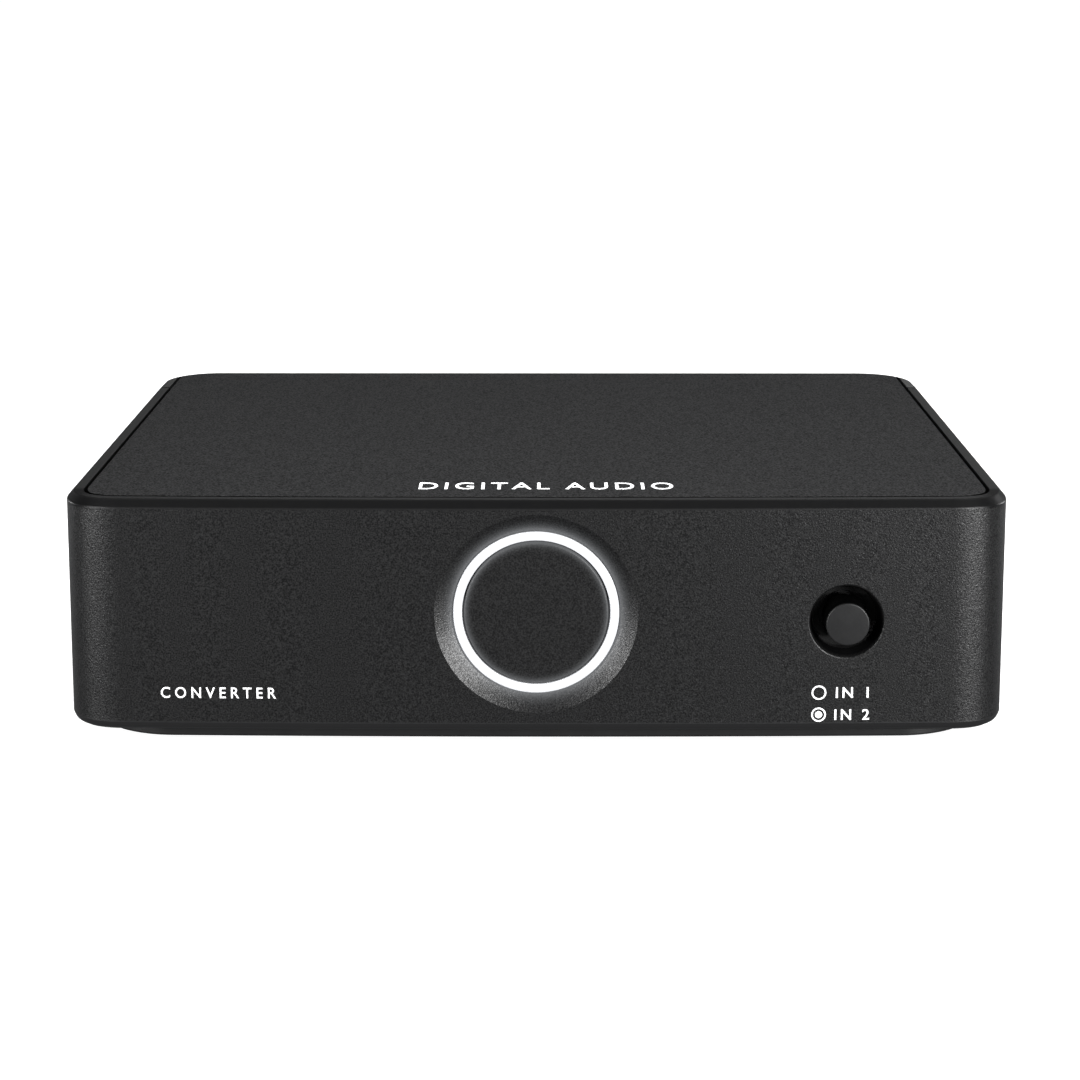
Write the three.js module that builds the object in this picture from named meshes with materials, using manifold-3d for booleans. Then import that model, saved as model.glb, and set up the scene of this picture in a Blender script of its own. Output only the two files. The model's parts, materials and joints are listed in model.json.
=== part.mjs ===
// Desktop digital-to-analogue converter: a low moulded case with a lit ring and a source
// button on its front, two circuit boards inside and its sockets on the rear.
// Millimetres, +Z up, front towards -Y, origin under the middle of the whole object.
// "Depth" is measured backwards from the foremost line of the front face.
import * as THREE from 'three';
import { mergeVertices } from 'three/addons/utils/BufferGeometryUtils.js';
import Module from 'manifold-3d';

const wasm = await Module();
wasm.setup();

// ---- Driving dimensions ----

const CASE = {
  width: 145,
  depth: 110,
  low: 3.5,
  top: 39.9,
  frontCorner: 7.8,
  rearCorner: 10.6,
  bowRadius: 2345,
  topChamfer: 1.2,
  lowChamfer: 1.5,
  wall: 2.8,
  ledgeInset: 5.2,
  ledgeCorner: 11.4,
  floorLedgeTop: 6.5,
  lidLedgeLow: 36.3,
};
const LID = { low: 37.4, inset: 3.15, gap: 0.4, rearSeam: 0.3, rearSeamReach: 1.6 };
const SEAM = { depth: 93.25, gap: 0.45 };
const TONGUE = { reach: 6, inset: 3.1, thick: 1.8, low: 9, high: 33 };
const BASE = { low: 2, high: 4.5, inset: 2.6, corner: 14, gap: 0.3 };
const FOOT = { radius: 5.5, high: 2.2, x: 57.5, frontDepth: 15, rearDepth: 95, recess: 0.5, edge: 0.4 };
const POST = { x: 50, frontDepth: 26, rearDepth: 84, radius: 4, low: 11, bore: 1.6, boreTop: 27 };
const STANDOFF = { radius: 4.5, clearance: 1.8 };
const SCREW = { headRadius: 2.8, headLow: 2.7, headHigh: 4.9, shank: 1.45, tip: 24 };
const SCREW_RECESS = { radius: 3.2, high: 5, slot: 0.8, slotLength: 3.2, slotDepth: 1.3 };

const MAIN_BOARD = { x: 62, frontDepth: 16, rearDepth: 106.4, low: 9, high: 10.6 };
const FRONT_BOARD = { left: -22, right: 57, low: 11.6, high: 34, frontDepth: 13, thick: 1.6 };
const BOARD_POSTS = [[-18.5, 30], [30, 30]];
const BOARD_POST = { radius: 2.6, start: 2, bore: 0.8, boreStart: 7 };
const BOARD_SCREW = { head: 1.9, headThick: 1.2, shank: 0.7, tip: 8.5 };
const HEADER = { x: 12, thick: 2.5, high: 13.1 };

const RING = { z: 22.3, face: 1, outer: 12.65, inner: 11.3, flange: 13.7, rear: 12 };
const RING_FLANGE = { start: 3.15, end: 4.6 };
const DISH = { faceRadius: 15.5, floorRadius: 12.95, depth: 1.35 };
const DISC = { radius: 11, skirtInner: 9.8, floor: 3 };
const LED = { count: 6, circle: 11.98, size: 1.6, front: 12.2, rear: 12.95 };

const BUTTON = { x: 47.2, z: 21.1, radius: 3.3, proud: 1.2, rear: 4.4, edge: 0.3 };
const BUTTON_HOLE = { faceRadius: 5.65, innerRadius: 4.95, innerDepth: 3 };
const BUTTON_SOCKET = { radius: 1.75, floor: 1.2 };
const GUIDE_FLANGE = { radius: 7.4, start: 3.75, end: 4.6 };
const GUIDE = { outer: 6.2, inner: 5.2, floor: 5.4, end: 6.1, bore: 3.6 };
const SWITCH = { half: 4, front: 6.8, rear: 13, bore: 2.3, boreFloor: 12.2 };
const PLUNGER = { radius: 1.45, front: 1.5, head: 2, headFront: 8.9, rear: 9.3 };
const SPRING = { radius: 1.6, wire: 0.16, turns: 3, front: 9.5, rear: 12 };

const PHONO = { z: 20.6, leftX: 28, pitch: 14, proud: 9 };
const PHONO_BARREL = { outer: 4.15, inner: 3.5, start: 104 };
const PHONO_BLOCK = { x0: 20.6, x1: 49.4, front: 95.5, rear: 106.8, high: 27.6 };
const PHONO_BOSS = { radius: 5.8, rear: 110.4, bore: 4.45, boreStart: 103.6 };
const PHONO_CORE = { radius: 3.2, start: 104.6, end: 118.3, bore: 1.75 };
const PHONO_CONTACT = { radius: 1.45, inner: 1.1, start: 105.2, end: 117.6, floor: 107 };
const OPTICAL = { x: 4, half: 5.6, high: 22.2, front: 95.8, rear: 109.8 };
const PORT = { half: 4.3, low: 12, high: 20.8, floor: 99.2 };
const SHUTTER = { half: 3.9, thick: 0.7, low: 12.5, bore: 0.55, knuckle: 0.95, gap: 0.3 };
const SHUTTER_PIN = { z: 19.6, depth: 108.5, radius: 0.45, half: 5.4 };
const SHUTTER_KNUCKLE = { from: -0.9, to: 3.9 };
const SHUTTER_SPRING = { radius: 0.85, wire: 0.12, turns: 4, start: 1.3, end: 3.6 };
const RECEIVER = { radius: 2.2, start: 95, end: 101.4, lens: 1.4, bore: 2.5 };
const DATA = { x: -16, z: 12.35, halfWidth: 4.47, halfHeight: 1.63, skin: 0.3, front: 101.7, rear: 109 };
const DATA_TONGUE = { halfWidth: 3.35, halfHeight: 0.35, front: 102.1, rear: 108.3, root: 102 };
const POWER = { x: -38, z: 16.4, half: 4.6, high: 21.8, front: 95.4, rear: 109.8 };
const POWER_BORE = { radius: 3.2, floor: 100 };
const POWER_PIN = { radius: 1, end: 108, tip: 0.5 };

// Rectangular parts: name, centre x, centre depth, width, length, height, finish.
const BOARD_PARTS = [
  ['converter_chip', 24, 66, 9, 9, 1.1, 'chip'],
  ['data_bridge_chip', -14, 78, 10, 10, 1.1, 'chip'],
  ['clock_oscillator_1', -2, 66, 5, 3.2, 1.3, 'can'],
  ['clock_oscillator_2', -2, 58, 5, 3.2, 1.3, 'can'],
  ['output_amplifier_1', 30, 82, 5, 4, 1.6, 'chip'],
  ['output_amplifier_2', 40, 82, 5, 4, 1.6, 'chip'],
  ['mute_relay', 16, 86, 7.5, 13, 9, 'moulding'],
  ['regulator', -38, 64, 6.5, 6.5, 2.3, 'chip'],
  ['inductor', -38, 78, 10, 10, 5, 'chip'],
];
const CAPACITOR = { radius: 4, height: 11.5, edge: 0.4 };
const CAPACITOR_PLACES = [[-26, 66], [-26, 54], [12, 50], [36, 58]];

const CUTOUT_GAP = 0.35;
const SPARE = 4;

const FRONT_Y = -(CASE.depth + PHONO.proud - BUTTON.proud) / 2;
const SEAM_FRONT = SEAM.depth - SEAM.gap / 2;
const SEAM_REAR = SEAM.depth + SEAM.gap / 2;

const FINISHES = {
  shell: { color: 0x1c1c1d, roughness: 0.72, metalness: 0 },
  lid: { color: 0x202021, roughness: 0.66, metalness: 0 },
  base: { color: 0x151516, roughness: 0.5, metalness: 0 },
  rubber: { color: 0x0d0d0d, roughness: 0.92, metalness: 0 },
  steel: { color: 0x8f9296, roughness: 0.35, metalness: 1 },
  diffuser: { color: 0xfafafa, roughness: 0.45, metalness: 0, emissive: 0xffffff },
  button: { color: 0x18181a, roughness: 0.45, metalness: 0 },
  board: { color: 0x0f2a1c, roughness: 0.5, metalness: 0 },
  led: { color: 0xf2edd2, roughness: 0.4, metalness: 0 },
  moulding: { color: 0x111112, roughness: 0.55, metalness: 0 },
  nickel: { color: 0xb9b6ae, roughness: 0.25, metalness: 1 },
  gold: { color: 0xc9a24a, roughness: 0.3, metalness: 1 },
  white: { color: 0xe6e6e2, roughness: 0.5, metalness: 0 },
  red: { color: 0xb01f1f, roughness: 0.5, metalness: 0 },
  chip: { color: 0x17181a, roughness: 0.6, metalness: 0 },
  can: { color: 0xa7abb0, roughness: 0.4, metalness: 0.9 },
};

// ---- Shaping helpers ----

const yAt = (depth) => FRONT_Y + depth;

// A closed geometry becomes a solid that can be joined and cut.
function toSolid(geometry) {
  const bare = geometry.clone();
  bare.deleteAttribute('normal');
  bare.deleteAttribute('uv');
  const merged = mergeVertices(bare);
  const corners = merged.index.array;
  const triangles = [];
  for (let i = 0; i < corners.length; i += 3) {
    const [a, b, c] = corners.subarray(i, i + 3);
    if (a !== b && b !== c && c !== a) {
      triangles.push(a, b, c);
    }
  }
  return new wasm.Manifold(new wasm.Mesh({
    numProp: 3,
    vertProperties: merged.attributes.position.array,
    triVerts: new Uint32Array(triangles),
  }));
}

function toGeometry(solid) {
  const mesh = solid.getMesh();
  const geometry = new THREE.BufferGeometry();
  geometry.setAttribute('position', new THREE.BufferAttribute(mesh.vertProperties, 3));
  geometry.setIndex(new THREE.BufferAttribute(mesh.triVerts, 1));
  geometry.computeVertexNormals();
  return geometry;
}

// A block between two x, two depths and two heights.
function block(x0, x1, depth0, depth1, z0, z1) {
  const geometry = new THREE.BoxGeometry(x1 - x0, depth1 - depth0, z1 - z0);
  geometry.translate((x0 + x1) / 2, yAt((depth0 + depth1) / 2), (z0 + z1) / 2);
  return toSolid(geometry);
}

// A plan outline raised from one height to another.
function prism(outline, low, high) {
  const geometry = new THREE.ExtrudeGeometry(outline, {
    depth: high - low,
    bevelEnabled: false,
    curveSegments: 5,
  });
  geometry.translate(0, 0, low);
  return toSolid(geometry);
}

// The same with both its ends chamfered.
function chamferedPrism(outline, low, high, chamfer) {
  const geometry = new THREE.ExtrudeGeometry(outline, {
    depth: high - low - 2 * chamfer,
    bevelThickness: chamfer,
    bevelSize: chamfer,
    bevelOffset: -chamfer,
    bevelSegments: 1,
    curveSegments: 5,
  });
  geometry.translate(0, 0, low + chamfer);
  return toSolid(geometry);
}

// An outline drawn in x and z, run from one depth to another.
function prismAlongDepth(outline, depth0, depth1) {
  const geometry = new THREE.ExtrudeGeometry(outline, {
    depth: depth1 - depth0,
    bevelEnabled: false,
    curveSegments: 8,
  });
  geometry.rotateX(Math.PI / 2);
  geometry.translate(0, yAt(depth1), 0);
  return toSolid(geometry);
}

// A profile of [radius, length] corners, in either order round, turned about the Y axis.
function latheGeometry(profile, segments) {
  const points = profile.map(([radius, length]) => new THREE.Vector2(radius, length));
  if (THREE.ShapeUtils.isClockWise(points)) {
    points.reverse();
  }
  const closed = points.every((point) => point.x > 0);
  if (closed) {
    points.push(points[0].clone());
  } else {
    while (points[0].x > 0 || points[points.length - 1].x > 0) {
      points.push(points.shift());
    }
  }
  return new THREE.LatheGeometry(points, segments);
}

// Turned about a line that runs backwards at x, z; the profile's lengths are depths.
function turnedAlongDepth(x, z, profile, segments = 24) {
  const geometry = latheGeometry(profile, segments);
  geometry.translate(x, FRONT_Y, z);
  return toSolid(geometry);
}

// Turned about an upright line; the profile's lengths are heights.
function turnedUpright(profile, segments = 20) {
  const geometry = latheGeometry(profile, segments);
  geometry.rotateX(Math.PI / 2);
  return toSolid(geometry);
}

// Turned about the X axis; the profile's lengths run along x.
function turnedAcross(profile, segments = 16) {
  const geometry = latheGeometry(profile, segments);
  geometry.rotateZ(-Math.PI / 2);
  return toSolid(geometry);
}

function rod(radius, from, to) {
  return [[0, from], [radius, from], [radius, to], [0, to]];
}

function tube(inner, outer, from, to) {
  return [[inner, from], [outer, from], [outer, to], [inner, to]];
}

class Helix extends THREE.Curve {
  constructor(radius, turns, from, to) {
    super();
    Object.assign(this, { radius, turns, from, to });
  }

  getPoint(t) {
    const angle = 2 * Math.PI * this.turns * t;
    const along = this.from + (this.to - this.from) * t;
    return new THREE.Vector3(this.radius * Math.cos(angle), along, this.radius * Math.sin(angle));
  }
}

// A coil spring about the Y axis.
function coilGeometry({ radius, wire, turns }, from, to) {
  const section = new THREE.Shape();
  section.absarc(0, 0, wire, 0, 2 * Math.PI);
  return new THREE.ExtrudeGeometry(section, {
    steps: turns * 12,
    extrudePath: new Helix(radius, turns, from, to),
    curveSegments: 3,
  });
}

function stadium(halfWidth, halfHeight) {
  const reach = halfWidth - halfHeight;
  const shape = new THREE.Shape();
  shape.absarc(reach, 0, halfHeight, -Math.PI / 2, Math.PI / 2);
  shape.absarc(-reach, 0, halfHeight, Math.PI / 2, 1.5 * Math.PI);
  return shape;
}

// ---- Plan outlines ----

// The bowed front edge and its two corners, moved inwards by inset.
function frontCurve(inset, corner) {
  const side = CASE.width / 2 - inset;
  const bowRadius = CASE.bowRadius - inset;
  const bowCentreY = FRONT_Y + CASE.bowRadius;
  const cornerX = side - corner;
  const cornerY = bowCentreY - Math.sqrt((bowRadius - corner) ** 2 - cornerX ** 2);
  const turn = Math.asin(cornerX / (bowRadius - corner));
  const shape = new THREE.Shape();
  shape.absarc(-cornerX, cornerY, corner, Math.PI, 1.5 * Math.PI - turn);
  shape.absarc(0, bowCentreY, bowRadius, 1.5 * Math.PI - turn, 1.5 * Math.PI + turn);
  shape.absarc(cornerX, cornerY, corner, 1.5 * Math.PI + turn, 2 * Math.PI);
  return shape;
}

// The whole outline; its corners keep their centres unless they are given other radii.
function caseOutline(
  inset,
  frontCorner = CASE.frontCorner - inset,
  rearCorner = CASE.rearCorner - inset,
) {
  const cornerX = CASE.width / 2 - inset - rearCorner;
  const cornerY = yAt(CASE.depth) - inset - rearCorner;
  const shape = frontCurve(inset, frontCorner);
  shape.absarc(cornerX, cornerY, rearCorner, 0, Math.PI / 2);
  shape.absarc(-cornerX, cornerY, rearCorner, Math.PI / 2, Math.PI);
  return shape;
}

// The lid's outline: its sides run straight back past the rear edge.
function openBackOutline(inset) {
  const side = CASE.width / 2 - inset;
  const shape = frontCurve(inset, CASE.frontCorner - inset);
  shape.lineTo(side, yAt(CASE.depth) + SPARE);
  shape.lineTo(-side, yAt(CASE.depth) + SPARE);
  return shape;
}

const sides = [-1, 1];
const caseFixings = sides.flatMap((side) => [
  { x: side * POST.x, y: yAt(POST.frontDepth) },
  { x: side * POST.x, y: yAt(POST.rearDepth) },
]);
const footPlaces = sides.flatMap((side) => [
  { x: side * FOOT.x, y: yAt(FOOT.frontDepth) },
  { x: side * FOOT.x, y: yAt(FOOT.rearDepth) },
]);

// ---- The assembly ----

const converter = new THREE.Group();

function addPiece(name, solid, finish, place = [0, 0, 0]) {
  const mesh = new THREE.Mesh(toGeometry(solid), new THREE.MeshStandardMaterial(FINISHES[finish]));
  mesh.name = name;
  mesh.position.set(...place);
  converter.add(mesh);
  return mesh;
}

// ---- Case ----

function caseBlock() {
  const low = chamferedPrism(caseOutline(0), CASE.low, CASE.top + SPARE, CASE.lowChamfer);
  const top = chamferedPrism(caseOutline(0), CASE.low - SPARE, CASE.top, CASE.topChamfer);
  return low.intersect(top);
}

// The case without its lid and base plate: walls with a ledge under each of them.
function hollowCase() {
  const rebate = caseOutline(BASE.inset - BASE.gap, BASE.corner + BASE.gap, BASE.corner + BASE.gap);
  const passage = caseOutline(CASE.ledgeInset, CASE.ledgeCorner, CASE.ledgeCorner);
  return caseBlock()
    .subtract(prism(passage, CASE.low - SPARE, CASE.top + SPARE))
    .subtract(prism(caseOutline(CASE.wall), CASE.floorLedgeTop, CASE.lidLedgeLow))
    .subtract(prism(openBackOutline(LID.inset - LID.gap), LID.low, CASE.top + SPARE))
    .subtract(prism(rebate, CASE.low - SPARE, BASE.high));
}

// A shallow cone round the ring, and the hole that the ring comes through.
function dishCutter() {
  return turnedAlongDepth(0, RING.z, [
    [0, CASE.wall + SPARE],
    [DISH.floorRadius, CASE.wall + SPARE],
    [DISH.floorRadius, DISH.depth],
    [DISH.faceRadius, 0],
    [DISH.faceRadius, -SPARE],
    [0, -SPARE],
  ], 64);
}

function buttonHoleCutter() {
  const slope = (BUTTON_HOLE.faceRadius - BUTTON_HOLE.innerRadius) / BUTTON_HOLE.innerDepth;
  return turnedAlongDepth(BUTTON.x, BUTTON.z, [
    [0, -1],
    [BUTTON_HOLE.faceRadius + slope, -1],
    [BUTTON_HOLE.faceRadius - slope * SPARE, SPARE],
    [0, SPARE],
  ], 32);
}

function makeFrontShell() {
  const half = CASE.width / 2 + SPARE;
  const boardPosts = BOARD_POSTS.map(([x, z]) => turnedAlongDepth(
    x,
    z,
    rod(BOARD_POST.radius, BOARD_POST.start, FRONT_BOARD.frontDepth),
    16,
  ));
  const bores = BOARD_POSTS.map(([x, z]) => turnedAlongDepth(
    x,
    z,
    rod(BOARD_POST.bore, BOARD_POST.boreStart, FRONT_BOARD.frontDepth + SPARE),
    12,
  ));
  let shell = hollowCase().intersect(block(-half, half, -SPARE, SEAM_FRONT, 0, CASE.top + SPARE));
  shell = shell.subtract(dishCutter()).subtract(buttonHoleCutter());
  for (const post of boardPosts) {
    shell = shell.add(post);
  }
  for (const bore of bores) {
    shell = shell.subtract(bore);
  }
  addPiece('front_shell', shell, 'shell');
}

// Two tongues on the rear cap slide inside the front shell's side walls.
function tongue(side) {
  const outer = CASE.width / 2 - TONGUE.inset;
  const inner = outer - TONGUE.thick;
  const [x0, x1] = side > 0 ? [inner, outer] : [-outer, -inner];
  const root = SEAM_REAR + SPARE;
  const strip = block(x0, x1, SEAM_REAR - TONGUE.reach, root, TONGUE.low, TONGUE.high);
  const [rootX0, rootX1] = side > 0 ? [inner, outer + 1] : [-outer - 1, -inner];
  return strip.add(block(rootX0, rootX1, SEAM_REAR, root, TONGUE.low, TONGUE.high));
}

function makeRearCap() {
  const half = CASE.width / 2 + SPARE;
  const through = [CASE.depth - SPARE, CASE.depth + SPARE];
  const rearPart = block(-half, half, SEAM_REAR, CASE.depth + SPARE, 0, CASE.top + SPARE);
  let cap = hollowCase().intersect(rearPart);
  for (const side of sides) {
    cap = cap.add(tongue(side));
  }
  const lidSide = CASE.width / 2 - LID.inset;
  cap = cap.subtract(block(
    -lidSide,
    lidSide,
    CASE.depth - LID.rearSeamReach,
    CASE.depth + SPARE,
    LID.low - LID.rearSeam,
    LID.low + 1,
  ));
  for (const index of [0, 1]) {
    const x = PHONO.leftX + index * PHONO.pitch;
    const hole = rod(PHONO_BOSS.radius + CUTOUT_GAP, ...through);
    cap = cap.subtract(turnedAlongDepth(x, PHONO.z, hole, 32));
  }
  const opticalHalf = OPTICAL.half + CUTOUT_GAP;
  cap = cap.subtract(block(
    OPTICAL.x - opticalHalf,
    OPTICAL.x + opticalHalf,
    ...through,
    MAIN_BOARD.high - CUTOUT_GAP,
    OPTICAL.high + CUTOUT_GAP,
  ));
  const powerHalf = POWER.half + CUTOUT_GAP;
  cap = cap.subtract(block(
    POWER.x - powerHalf,
    POWER.x + powerHalf,
    ...through,
    MAIN_BOARD.high - CUTOUT_GAP,
    POWER.high + CUTOUT_GAP,
  ));
  const dataHole = prismAlongDepth(
    stadium(DATA.halfWidth + CUTOUT_GAP, DATA.halfHeight + CUTOUT_GAP),
    ...through,
  );
  addPiece('rear_cap', cap.subtract(dataHole.translate([DATA.x, 0, DATA.z])), 'shell');
}

function makeTopCover() {
  const lidArea = prism(openBackOutline(LID.inset), LID.low, CASE.top + SPARE);
  let cover = caseBlock().intersect(lidArea);
  const post = turnedUpright(rod(POST.radius, POST.low, LID.low + 1));
  const bore = turnedUpright(rod(POST.bore, POST.low - 1, POST.boreTop), 12);
  for (const { x, y } of caseFixings) {
    cover = cover.add(post.translate([x, y, 0])).subtract(bore.translate([x, y, 0]));
  }
  addPiece('top_cover', cover, 'lid');
}

function makeBasePlate() {
  let plate = prism(caseOutline(BASE.inset, BASE.corner, BASE.corner), BASE.low, BASE.high);
  const standoff = turnedUpright(rod(STANDOFF.radius, BASE.high - 1, MAIN_BOARD.low));
  const screwWay = turnedUpright([
    [0, 0],
    [SCREW_RECESS.radius, 0],
    [SCREW_RECESS.radius, SCREW_RECESS.high],
    [STANDOFF.clearance, SCREW_RECESS.high],
    [STANDOFF.clearance, MAIN_BOARD.low + 1],
    [0, MAIN_BOARD.low + 1],
  ]);
  for (const { x, y } of caseFixings) {
    plate = plate.add(standoff.translate([x, y, 0])).subtract(screwWay.translate([x, y, 0]));
  }
  const footRecess = turnedUpright(rod(FOOT.radius + BASE.gap, 0, BASE.low + FOOT.recess));
  for (const { x, y } of footPlaces) {
    plate = plate.subtract(footRecess.translate([x, y, 0]));
  }
  addPiece('base_plate', plate, 'base');
}

function makeFeet() {
  const foot = turnedUpright([
    [0, 0],
    [FOOT.radius - FOOT.edge, 0],
    [FOOT.radius, FOOT.edge],
    [FOOT.radius, FOOT.high],
    [0, FOOT.high],
  ]);
  footPlaces.forEach(({ x, y }, index) => {
    addPiece(`foot_${index + 1}`, foot, 'rubber', [x, y, 0]);
  });
}

// Pan-head screws with a cross recess, up through the base plate and board into the lid.
function makeCaseScrews() {
  let screw = turnedUpright([
    [0, SCREW.headLow],
    [SCREW.headRadius, SCREW.headLow],
    [SCREW.headRadius, SCREW.headHigh],
    [SCREW.shank, SCREW.headHigh],
    [SCREW.shank, SCREW.tip - 1],
    [0, SCREW.tip],
  ], 16);
  const slotTop = SCREW.headLow + SCREW_RECESS.slotDepth;
  for (const turn of [0, Math.PI / 2]) {
    const slot = new THREE.BoxGeometry(
      SCREW_RECESS.slotLength,
      SCREW_RECESS.slot,
      2 * SCREW_RECESS.slotDepth,
    );
    slot.rotateZ(turn);
    slot.translate(0, 0, slotTop - SCREW_RECESS.slotDepth);
    screw = screw.subtract(toSolid(slot));
  }
  caseFixings.forEach(({ x, y }, index) => {
    addPiece(`case_screw_${index + 1}`, screw, 'steel', [x, y, 0]);
  });
}

// ---- Light ring and front board ----

function makeLightRing() {
  addPiece('light_ring', turnedAlongDepth(0, RING.z, [
    [RING.inner, RING.face],
    [RING.outer, RING.face],
    [RING.outer, RING_FLANGE.start],
    [RING.flange, RING_FLANGE.start],
    [RING.flange, RING_FLANGE.end],
    [RING.outer, RING_FLANGE.end],
    [RING.outer, RING.rear],
    [RING.inner, RING.rear],
  ], 40), 'diffuser');
  addPiece('ring_cap', turnedAlongDepth(0, RING.z, [
    [0, RING.face],
    [DISC.radius, RING.face],
    [DISC.radius, FRONT_BOARD.frontDepth],
    [DISC.skirtInner, FRONT_BOARD.frontDepth],
    [DISC.skirtInner, DISC.floor],
    [0, DISC.floor],
  ], 32), 'moulding');
}

function makeFrontBoard() {
  const rear = FRONT_BOARD.frontDepth + FRONT_BOARD.thick;
  let board = block(
    FRONT_BOARD.left,
    FRONT_BOARD.right,
    FRONT_BOARD.frontDepth,
    rear,
    FRONT_BOARD.low,
    FRONT_BOARD.high,
  );
  BOARD_POSTS.forEach(([x, z], index) => {
    const hole = rod(BOARD_SCREW.shank + CUTOUT_GAP, FRONT_BOARD.frontDepth - 1, rear + 1);
    board = board.subtract(turnedAlongDepth(x, z, hole, 12));
    addPiece(`board_screw_${index + 1}`, turnedAlongDepth(x, z, [
      [0, rear + BOARD_SCREW.headThick],
      [BOARD_SCREW.head, rear + BOARD_SCREW.headThick],
      [BOARD_SCREW.head, rear],
      [BOARD_SCREW.shank, rear],
      [BOARD_SCREW.shank, BOARD_SCREW.tip],
      [0, BOARD_SCREW.tip],
    ], 12), 'steel');
  });
  addPiece('front_board', board, 'board');
  addPiece('board_header', block(
    -HEADER.x,
    HEADER.x,
    rear,
    rear + HEADER.thick,
    MAIN_BOARD.high,
    HEADER.high,
  ), 'moulding');
}

function makeLeds() {
  const half = LED.size / 2;
  const led = block(-half, half, LED.front, LED.rear, -half, half);
  for (let index = 0; index < LED.count; index += 1) {
    const angle = (2 * Math.PI * index) / LED.count;
    const place = [LED.circle * Math.sin(angle), 0, RING.z + LED.circle * Math.cos(angle)];
    addPiece(`led_${index + 1}`, led, 'led', place);
  }
}

// ---- Source button ----

function makeButton() {
  const face = -BUTTON.proud;
  addPiece('input_button', turnedAlongDepth(BUTTON.x, BUTTON.z, [
    [0, face],
    [BUTTON.radius - BUTTON.edge, face],
    [BUTTON.radius, face + BUTTON.edge],
    [BUTTON.radius, BUTTON.rear],
    [BUTTON_SOCKET.radius, BUTTON.rear],
    [BUTTON_SOCKET.radius, BUTTON_SOCKET.floor],
    [0, BUTTON_SOCKET.floor],
  ], 32), 'button');
  addPiece('switch_plunger', turnedAlongDepth(BUTTON.x, BUTTON.z, [
    [0, PLUNGER.front],
    [PLUNGER.radius, PLUNGER.front],
    [PLUNGER.radius, PLUNGER.headFront],
    [PLUNGER.head, PLUNGER.headFront],
    [PLUNGER.head, PLUNGER.rear],
    [0, PLUNGER.rear],
  ], 20), 'white');
  addPiece('button_guide', turnedAlongDepth(BUTTON.x, BUTTON.z, [
    [GUIDE.inner, GUIDE_FLANGE.start],
    [GUIDE_FLANGE.radius, GUIDE_FLANGE.start],
    [GUIDE_FLANGE.radius, GUIDE_FLANGE.end],
    [GUIDE.outer, GUIDE_FLANGE.end],
    [GUIDE.outer, GUIDE.end],
    [GUIDE.bore, GUIDE.end],
    [GUIDE.bore, GUIDE.floor],
    [GUIDE.inner, GUIDE.floor],
  ], 32), 'moulding');
}

function makeSwitch() {
  const body = block(
    BUTTON.x - SWITCH.half,
    BUTTON.x + SWITCH.half,
    SWITCH.front,
    SWITCH.rear,
    BUTTON.z - SWITCH.half,
    BUTTON.z + SWITCH.half,
  );
  const way = rod(SWITCH.bore, SWITCH.front - 1, SWITCH.boreFloor);
  const bore = turnedAlongDepth(BUTTON.x, BUTTON.z, way, 20);
  addPiece('switch_body', body.subtract(bore), 'moulding');
  const coil = coilGeometry(SPRING, yAt(SPRING.front), yAt(SPRING.rear));
  addPiece('switch_spring', toSolid(coil), 'steel', [BUTTON.x, 0, BUTTON.z]);
}

// ---- Rear sockets ----

function makePhonoSockets() {
  let housing = block(
    PHONO_BLOCK.x0,
    PHONO_BLOCK.x1,
    PHONO_BLOCK.front,
    PHONO_BLOCK.rear,
    MAIN_BOARD.high,
    PHONO_BLOCK.high,
  );
  ['left', 'right'].forEach((channel, index) => {
    const x = PHONO.leftX + index * PHONO.pitch;
    const boss = rod(PHONO_BOSS.radius, PHONO_BLOCK.front + 1, PHONO_BOSS.rear);
    const bore = rod(PHONO_BOSS.bore, PHONO_BOSS.boreStart, PHONO_BOSS.rear + 1);
    housing = housing
      .add(turnedAlongDepth(x, PHONO.z, boss, 32))
      .subtract(turnedAlongDepth(x, PHONO.z, bore, 32));
    const barrelEnd = CASE.depth + PHONO.proud;
    const barrel = tube(PHONO_BARREL.inner, PHONO_BARREL.outer, PHONO_BARREL.start, barrelEnd);
    const core = tube(PHONO_CORE.bore, PHONO_CORE.radius, PHONO_CORE.start, PHONO_CORE.end);
    addPiece(`phono_barrel_${channel}`, turnedAlongDepth(x, PHONO.z, barrel, 32), 'nickel');
    const coreFinish = index === 0 ? 'white' : 'red';
    addPiece(`phono_core_${channel}`, turnedAlongDepth(x, PHONO.z, core), coreFinish);
    addPiece(`phono_contact_${channel}`, turnedAlongDepth(x, PHONO.z, [
      [0, PHONO_CONTACT.start],
      [PHONO_CONTACT.radius, PHONO_CONTACT.start],
      [PHONO_CONTACT.radius, PHONO_CONTACT.end],
      [PHONO_CONTACT.inner, PHONO_CONTACT.end],
      [PHONO_CONTACT.inner, PHONO_CONTACT.floor],
      [0, PHONO_CONTACT.floor],
    ], 16), 'gold');
  });
  addPiece('phono_block', housing, 'moulding');
}

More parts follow.
